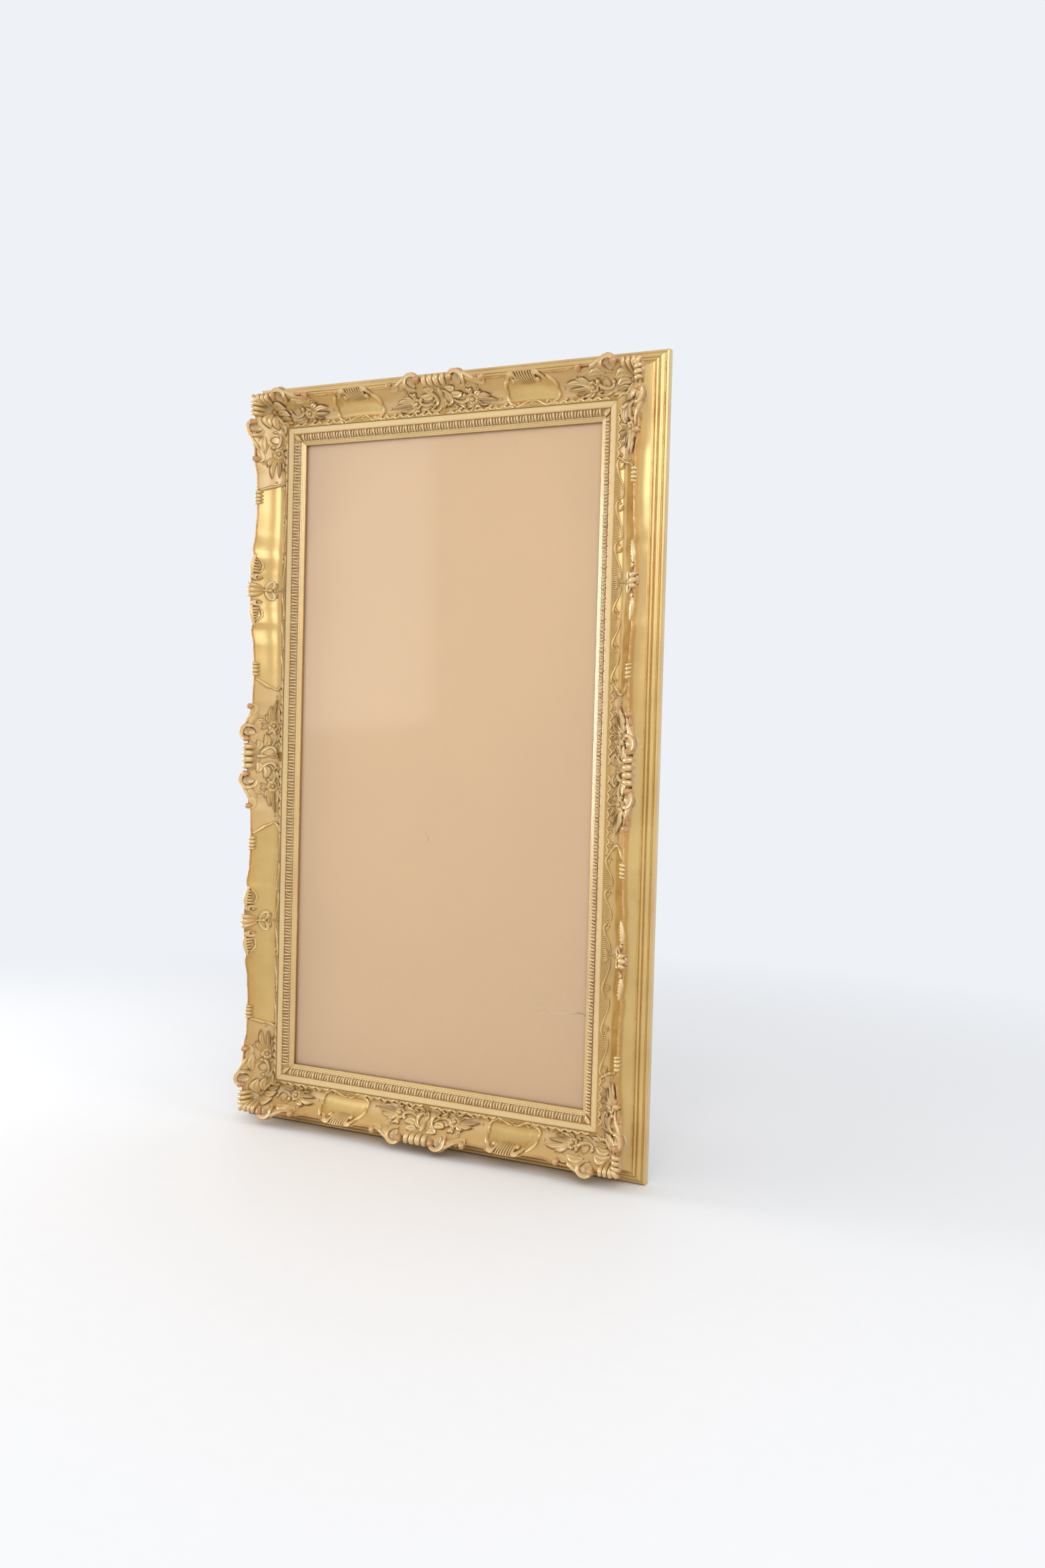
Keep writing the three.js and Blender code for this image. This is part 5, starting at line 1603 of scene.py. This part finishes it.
def faced_paper(name, light):
    """Brown paper facing with fine fibres and faint cockling"""
    shader = Shader(name)
    where = shader.where()
    fibres = shader.noise(shader.stretched(where, (1.0, 1.0, 3.0)), 420.0, 4.0, 0.7)
    cloud = shader.noise(where, 3.0, 3.0)
    worn = shader.add("ShaderNodeAttribute", {"attribute_name": "finish"})
    parts = shader.add("ShaderNodeSeparateColor", None, {"Color": worn["Color"]})
    dark = tuple(0.84 * channel for channel in light)
    colour = shader.mix(0.55 * fibres + 0.45 * cloud, light, dark)
    colour = shader.mix(parts["Red"] * 0.85, colour, tuple(0.3 * channel for channel in light))
    colour = shader.mix(parts["Green"] * 0.6, colour, (0.86, 0.78, 0.66))
    return shader.surface({
        "Base Color": colour,
        "Roughness": 0.8 + 0.1 * fibres,
        "Normal": shader.bump(fibres, 0.12, 0.0003),
    })


def hardboard(name, light):
    """Pressed board with flecks and the print of its wire mesh"""
    shader = Shader(name)
    where = shader.where()
    flecks = shader.noise(where, 520.0, 4.0, 0.75)
    cloud = shader.noise(where, 6.0, 3.0)
    colour = shader.mix(flecks.between(0.3, 0.75), light, tuple(0.6 * channel for channel in light))
    wires = {"Vector": where, "Scale": 160.0}
    warp = shader.add("ShaderNodeTexWave", {"bands_direction": "X"}, wires)["Fac"]
    weft = shader.add("ShaderNodeTexWave", {"bands_direction": "Z"}, wires)["Fac"]
    return shader.surface({
        "Base Color": colour,
        "Roughness": 0.66 + 0.2 * cloud,
        "Normal": shader.bump(warp * weft + 0.5 * flecks, 0.35, 0.0005),
    })


def worn_metal(name, light, polish):
    """Plain drawn metal with handling marks and tarnish"""
    shader = Shader(name)
    where = shader.where()
    scratches = shader.noise(shader.stretched(where, (1.0, 1.0, 14.0)), 300.0, 3.0)
    tarnish = shader.noise(where, 90.0, 4.0, 0.6)
    colour = shader.mix(tarnish.between(0.45, 0.8), light, tuple(0.5 * channel for channel in light))
    return shader.surface({
        "Base Color": colour,
        "Metallic": 1 - 0.25 * tarnish.between(0.55, 0.85),
        "Roughness": polish + 0.25 * tarnish + 0.08 * scratches,
        "Normal": shader.bump(scratches, 0.08, 0.0002),
    })


def pane_glass(name):
    """Clear glass: what is behind it, with a reflection that grows towards grazing angles"""
    shader = Shader(name)
    facing = shader.add("ShaderNodeLayerWeight", None, {"Blend": 0.5})["Facing"]
    share = 0.04 + 0.96 * facing**5
    tint = (0.99, 0.996, 0.994, 1.0)
    clear = shader.add("ShaderNodeBsdfTransparent", None, {"Color": tint})["BSDF"]
    mirror = {"Color": (1.0, 1.0, 1.0, 1.0), "Roughness": 0.07}
    gloss = shader.add("ShaderNodeBsdfGlossy", None, mirror)["BSDF"]
    return shader.finish(shader.blend(share, clear, gloss))


class Finishes:
    """The materials, made once"""

    made = {}

    @classmethod
    def of(cls, context):
        if not cls.made:
            colours = context.scene.gilt_frame_colours
            cls.made = {
                "rail": gilding("burnished_gilding", colours, 0.3, 0.008),
                "ornament": gilding("matte_gilding", colours, 0.32, 0.009),
                "slip": gilding("slip_gilding", colours, 0.32, 0.0026),
                "wood": bare_wood("bare_wood", colours.wood, (1.0, 1.0, 0.06)),
                "wood_across": bare_wood("bare_wood_across", colours.wood, (0.06, 1.0, 1.0)),
                "key": bare_wood("key_wood", tuple(0.8 * c for c in colours.wood), (0.3, 1.0, 0.3)),
                "paper": faced_paper("faced_paper", colours.paper),
                "board": hardboard("hardboard", colours.board),
                "brass": worn_metal("brass", colours.brass, 0.26),
                "steel": worn_metal("steel", colours.steel, 0.3),
                "glass": pane_glass("pane_glass"),
            }
        return cls.made


def wood_of(finishes, side):
    return finishes["wood"] if KINDS[side] == "long" else finishes["wood_across"]


class CarvedOperator:
    """What the operators that carve pieces share"""

    bl_options = {"REGISTER", "UNDO"}

    def begin(self, context):
        return Plan(context.scene.gilt_frame_sizes), Finishes.of(context)


class GILTFRAME_OT_swept_rails(CarvedOperator, Operator):
    """Carve the four swept rails with their borders and ribbons"""

    bl_idname = "giltframe.swept_rails"
    bl_label = "Swept Rails"

    def execute(self, context):
        plan, finishes = self.begin(context)
        carved = {kind: carve_rail(plan, kind) for kind in plan.half}
        for side in SIDES:
            materials = (finishes["rail"], wood_of(finishes, side))
            piece = carved[KINDS[side]].build(f"rail_{side}", materials, on_side(plan, side))
            dress(piece, "frame", "gilt_rail", f"swept_rail_{side}")
        return {"FINISHED"}


class GILTFRAME_OT_back_rails(CarvedOperator, Operator):
    """Make the four reeded back rails"""

    bl_idname = "giltframe.back_rails"
    bl_label = "Back Rails"

    def execute(self, context):
        plan, finishes = self.begin(context)
        carved = {kind: carve_back_rail(plan, kind) for kind in plan.half}
        for side in SIDES:
            materials = (finishes["rail"], wood_of(finishes, side))
            piece = carved[KINDS[side]].build(f"back_moulding_{side}", materials, on_side(plan, side))
            dress(piece, "frame", "gilt_rail", f"back_rail_{side}")
        return {"FINISHED"}


class GILTFRAME_OT_slips(CarvedOperator, Operator):
    """Make the four sight slips with their leaf-tip bands"""

    bl_idname = "giltframe.slips"
    bl_label = "Sight Slips"

    def execute(self, context):
        plan, finishes = self.begin(context)
        carved = {kind: carve_slip(plan, kind) for kind in plan.half}
        for side in SIDES:
            materials = (finishes["slip"], wood_of(finishes, side))
            piece = carved[KINDS[side]].build(f"slip_{side}", materials, on_side(plan, side))
            dress(piece, "frame", "gilt_slip", f"sight_slip_{side}")
        return {"FINISHED"}


class GILTFRAME_OT_corners(CarvedOperator, Operator):
    """Carve the four corner ornaments"""

    bl_idname = "giltframe.corners"
    bl_label = "Corner Ornaments"

    def execute(self, context):
        plan, finishes = self.begin(context)
        carving = carve_corner(plan)
        for corner in CORNER_HANDS:
            piece = carving.build(f"corner_{corner}", (finishes["ornament"],), in_corner(plan, corner))
            dress(piece, "frame", "gilt_ornament", f"corner_ornament_{corner}")
        return {"FINISHED"}


class GILTFRAME_OT_centres(CarvedOperator, Operator):
    """Carve the four centre ornaments"""

    bl_idname = "giltframe.centres"
    bl_label = "Centre Ornaments"

    def execute(self, context):
        plan, finishes = self.begin(context)
        carving = carve_centre(plan)
        for side in SIDES:
            piece = carving.build(f"centre_{side}", (finishes["ornament"],), on_side(plan, side))
            dress(piece, "frame", "gilt_ornament", f"centre_ornament_{side}")
        return {"FINISHED"}


class GILTFRAME_OT_clasps(CarvedOperator, Operator):
    """Carve the four clasps of the long sides"""

    bl_idname = "giltframe.clasps"
    bl_label = "Clasps"

    def execute(self, context):
        plan, finishes = self.begin(context)
        carving = carve_clasp(plan)
        middle = plan.panel_middle("long")
        for side in ("left", "right"):
            for level in ("upper", "lower"):
                up = 1 if (side == "left") == (level == "upper") else -1
                place = on_side(plan, side, up * middle, up)
                piece = carving.build(f"clasp_shell_{side}_{level}", (finishes["ornament"],), place)
                dress(piece, "frame", "gilt_ornament", f"clasp_{side}_{level}")
        return {"FINISHED"}


def repaint(node, material):
    """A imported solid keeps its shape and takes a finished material"""
    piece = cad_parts[node]
    piece.data.materials.clear()
    piece.data.materials.append(material)


class GILTFRAME_OT_glazing(CarvedOperator, Operator):
    """Make the faced panel and finish the glass and the back board"""

    bl_idname = "giltframe.glazing"
    bl_label = "Glazing"

    def execute(self, context):
        finishes = self.begin(context)[1]
        repaint("glass_pane", finishes["glass"])
        repaint("back_board", finishes["board"])
        carving = carve_panel(*box_in_opening("paper_panel"))
        piece = carving.build("faced_panel", (finishes["paper"],), in_opening)
        dress(piece, "frame", "tan_paper", "paper_panel")
        return {"FINISHED"}


def nodes_named(start):
    return [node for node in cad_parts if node.startswith(start)]


class GILTFRAME_OT_buttons(CarvedOperator, Operator):
    """Make the turn buttons"""

    bl_idname = "giltframe.buttons"
    bl_label = "Turn Buttons"

    def execute(self, context):
        finishes = self.begin(context)[1]
        for node in nodes_named("turn_button"):
            screw = box_in_opening(node.replace("turn_button", "button_screw"))
            carving = carve_button(*box_in_opening(node), screw[:, :2].mean(0))
            piece = carving.build(f"{node}_bar", (finishes["brass"],), in_opening)
            dress(piece, node, "brass", node)
        return {"FINISHED"}


class GILTFRAME_OT_hangers(CarvedOperator, Operator):
    """Make the strap hangers and their rings"""

    bl_idname = "giltframe.hangers"
    bl_label = "Strap Hangers"

    def execute(self, context):
        brass = (self.begin(context)[1]["brass"],)
        for side in ("left", "right"):
            strap, ring = f"hanger_strap_{side}", f"hanger_ring_{side}"
            plate = carve_strap(*box_in_opening(strap)).build(f"{strap}_plate", brass, in_opening)
            dress(plate, "frame", "brass", strap)
            wire = carve_ring(*box_in_opening(ring)).build(f"{ring}_wire", brass, in_opening)
            dress(wire, ring, "brass", ring)
        return {"FINISHED"}


class GILTFRAME_OT_screws(CarvedOperator, Operator):
    """Make the slotted screws of the buttons, straps and rails"""

    bl_idname = "giltframe.screws"
    bl_label = "Screws"

    def execute(self, context):
        finishes = self.begin(context)[1]
        for start, head, taper in SCREW_HEADS:
            for node in nodes_named(start):
                low, high = box_in_opening(node)
                centre, radius = (low[:2] + high[:2]) / 2, (high[0] - low[0]) / 2
                carving = Carving()
                add_screw(carving, centre, low[2], high[2], radius, head, taper)
                piece = carving.build(f"{node}_turned", (finishes["steel"],), in_opening)
                dress(piece, "frame", "steel", node)
        return {"FINISHED"}


class GILTFRAME_OT_keys(CarvedOperator, Operator):
    """Make the dovetail keys across the mitres"""

    bl_idname = "giltframe.keys"
    bl_label = "Mitre Keys"

    def execute(self, context):
        plan, finishes = self.begin(context)
        hands = np.array([plan.half["short"], plan.half["long"], 0.0])
        carving = carve_key(*(box_in_opening("mitre_key_top_right") - hands))
        for corner in CORNER_HANDS:
            piece = carving.build(f"key_{corner}", (finishes["key"],), in_corner(plan, corner))
            dress(piece, "frame", "key_wood", f"mitre_key_{corner}")
        return {"FINISHED"}


# Stage

CAMERA_PLACE = (1.5601, -2.6048, 0.8800)
CAMERA_YAW = 27.815
CAMERA_PITCH = 2.248
CAMERA_ROLL = 1.517
FOCAL_PIXELS = 2200
PHOTO_HEIGHT = 2353
SENSOR = 36.0
FLOOR_RINGS = (0.5, 1.5, 3.0, 5.0)
FADE_START = 1.0
FADE_END = 2.8
AMBIENT = 0.85
# Square lamps: name, place, the point they face, size in metres, watts and roll in degrees
LAMPS = (
    ("key_light", (1.9, -3.3, 2.7), (0.0, 0.0, 0.9), 2.4, 62.0, 0.0),
    ("side_light", (3.4, -0.5, 2.3), (0.0, 0.0, 1.3), 1.5, 24.0, 0.0),
    ("fill_light", (-3.08, -2.6, 2.0), (0.0, 0.0, 0.8), 2.6, 12.0, 6.0),
    ("left_light", (-3.2, -0.55, 1.2), (0.3, 0.0, 0.9), 1.5, 58.0, 0.0),
)


class GILTFRAME_OT_stage(Operator):
    """Lay the floor, light the frame and set the camera"""

    bl_idname = "giltframe.stage"
    bl_label = "Stage"

    def execute(self, context):
        colours = context.scene.gilt_frame_colours
        context.scene.view_settings.view_transform = "Standard"
        self.floor(context, colours)
        self.world(context, colours)
        for lamp in LAMPS:
            self.lamp(context, *lamp)
        self.camera(context)
        return {"FINISHED"}

    def floor(self, context, colours):
        turn = np.radians(np.arange(0, 360, 5))
        circle = np.column_stack([np.cos(turn), np.sin(turn), 0 * turn])
        rings = [radius * circle for radius in FLOOR_RINGS]
        count = len(turn)
        faces = [tuple(range(count))]
        for ring in range(len(FLOOR_RINGS) - 1):
            for i in range(count):
                here, ahead = ring * count + i, ring * count + (i + 1) % count
                faces.append((here, here + count, ahead + count, ahead))
        mesh = bpy.data.meshes.new("floor")
        mesh.from_pydata(np.vstack(rings).tolist(), [], faces)
        mesh.materials.append(self.floor_material(colours))
        floor = bpy.data.objects.new("floor", mesh)
        context.scene.collection.objects.link(floor)

    def floor_material(self, colours):
        """Pale floor that fades into the backdrop away from the frame"""
        shader = Shader("pale_floor")
        where = shader.where()
        far = shader.add("ShaderNodeVectorMath", {"operation": "LENGTH"}, {0: where})["Value"]
        speck = shader.noise(where, 30.0, 4.0)
        darker = tuple(0.92 * channel for channel in colours.floor)
        colour = shader.mix(speck.between(0.3, 0.8) * 0.2, colours.floor, darker)
        matte = {"Base Color": colour, "Roughness": 0.6}
        solid = shader.add("ShaderNodeBsdfPrincipled", None, matte)["BSDF"]
        clear = shader.add("ShaderNodeBsdfTransparent", None, {"Color": (1.0, 1.0, 1.0, 1.0)})["BSDF"]
        return shader.finish(shader.blend(far.between(FADE_START, FADE_END), solid, clear))

    def world(self, context, colours):
        world = bpy.data.worlds.new("studio")
        context.scene.world = world
        world.use_nodes = True
        shader = Shader("studio", world.node_tree)
        path = shader.add("ShaderNodeLightPath")
        seen = path["Is Camera Ray"] + path["Is Glossy Ray"] + path["Is Transmission Ray"]
        strength = AMBIENT + (1 - AMBIENT) * seen.between(0.0, 1.0)
        settings = {"Color": (*colours.backdrop, 1.0), "Strength": strength}
        back = shader.add("ShaderNodeBackground", None, settings)["Background"]
        shader.add("ShaderNodeOutputWorld", None, {"Surface": back})

    def lamp(self, context, name, place, target, size, power, roll):
        light = bpy.data.lights.new(name, "AREA")
        light.shape = "SQUARE"
        light.size = size
        light.energy = power
        lamp = bpy.data.objects.new(name, light)
        lamp.location = place
        aim = (Vector(target) - Vector(place)).to_track_quat("-Z", "Y").to_matrix().to_4x4()
        lamp.rotation_euler = (aim @ Matrix.Rotation(math.radians(roll), 4, "Z")).to_euler()
        context.scene.collection.objects.link(lamp)

    def camera(self, context):
        data = bpy.data.cameras.new("camera")
        data.sensor_width = SENSOR
        data.lens = SENSOR * FOCAL_PIXELS / PHOTO_HEIGHT
        camera = bpy.data.objects.new("camera", data)
        turn = Matrix.Rotation(math.radians(CAMERA_YAW), 4, "Z")
        tilt = Matrix.Rotation(math.radians(90 - CAMERA_PITCH), 4, "X")
        roll = Matrix.Rotation(math.radians(CAMERA_ROLL), 4, "Z")
        camera.matrix_world = Matrix.Translation(CAMERA_PLACE) @ turn @ tilt @ roll
        context.scene.collection.objects.link(camera)
        context.scene.camera = camera


OPERATORS = (
    GILTFRAME_OT_swept_rails,
    GILTFRAME_OT_back_rails,
    GILTFRAME_OT_slips,
    GILTFRAME_OT_corners,
    GILTFRAME_OT_centres,
    GILTFRAME_OT_clasps,
    GILTFRAME_OT_glazing,
    GILTFRAME_OT_buttons,
    GILTFRAME_OT_hangers,
    GILTFRAME_OT_screws,
    GILTFRAME_OT_keys,
    GILTFRAME_OT_stage,
)


class GILTFRAME_PT_panel(Panel):
    """Sizes, colours and makers of the frame"""

    bl_idname = "GILTFRAME_PT_panel"
    bl_label = "Gilded Swept Frame"
    bl_space_type = "VIEW_3D"
    bl_region_type = "UI"
    bl_category = "Gilt Frame"

    def draw(self, context):
        for group in (context.scene.gilt_frame_sizes, context.scene.gilt_frame_colours):
            column = self.layout.column(align=True)
            for name in group.__annotations__:
                column.prop(group, name)
        for operator in OPERATORS:
            self.layout.operator(operator.bl_idname)


CLASSES = (FrameSizes, FrameColours, *OPERATORS, GILTFRAME_PT_panel)


def register():
    for cls in CLASSES:
        bpy.utils.register_class(cls)
    bpy.types.Scene.gilt_frame_sizes = PointerProperty(type=FrameSizes)
    bpy.types.Scene.gilt_frame_colours = PointerProperty(type=FrameColours)


def unregister():
    del bpy.types.Scene.gilt_frame_colours
    del bpy.types.Scene.gilt_frame_sizes
    for cls in reversed(CLASSES):
        bpy.utils.unregister_class(cls)


def main():
    register()
    bpy.ops.giltframe.swept_rails()
    bpy.ops.giltframe.back_rails()
    bpy.ops.giltframe.slips()
    bpy.ops.giltframe.corners()
    bpy.ops.giltframe.centres()
    bpy.ops.giltframe.clasps()
    bpy.ops.giltframe.glazing()
    bpy.ops.giltframe.buttons()
    bpy.ops.giltframe.hangers()
    bpy.ops.giltframe.screws()
    bpy.ops.giltframe.keys()
    bpy.ops.giltframe.stage()


if __name__ == "__main__":
    main()
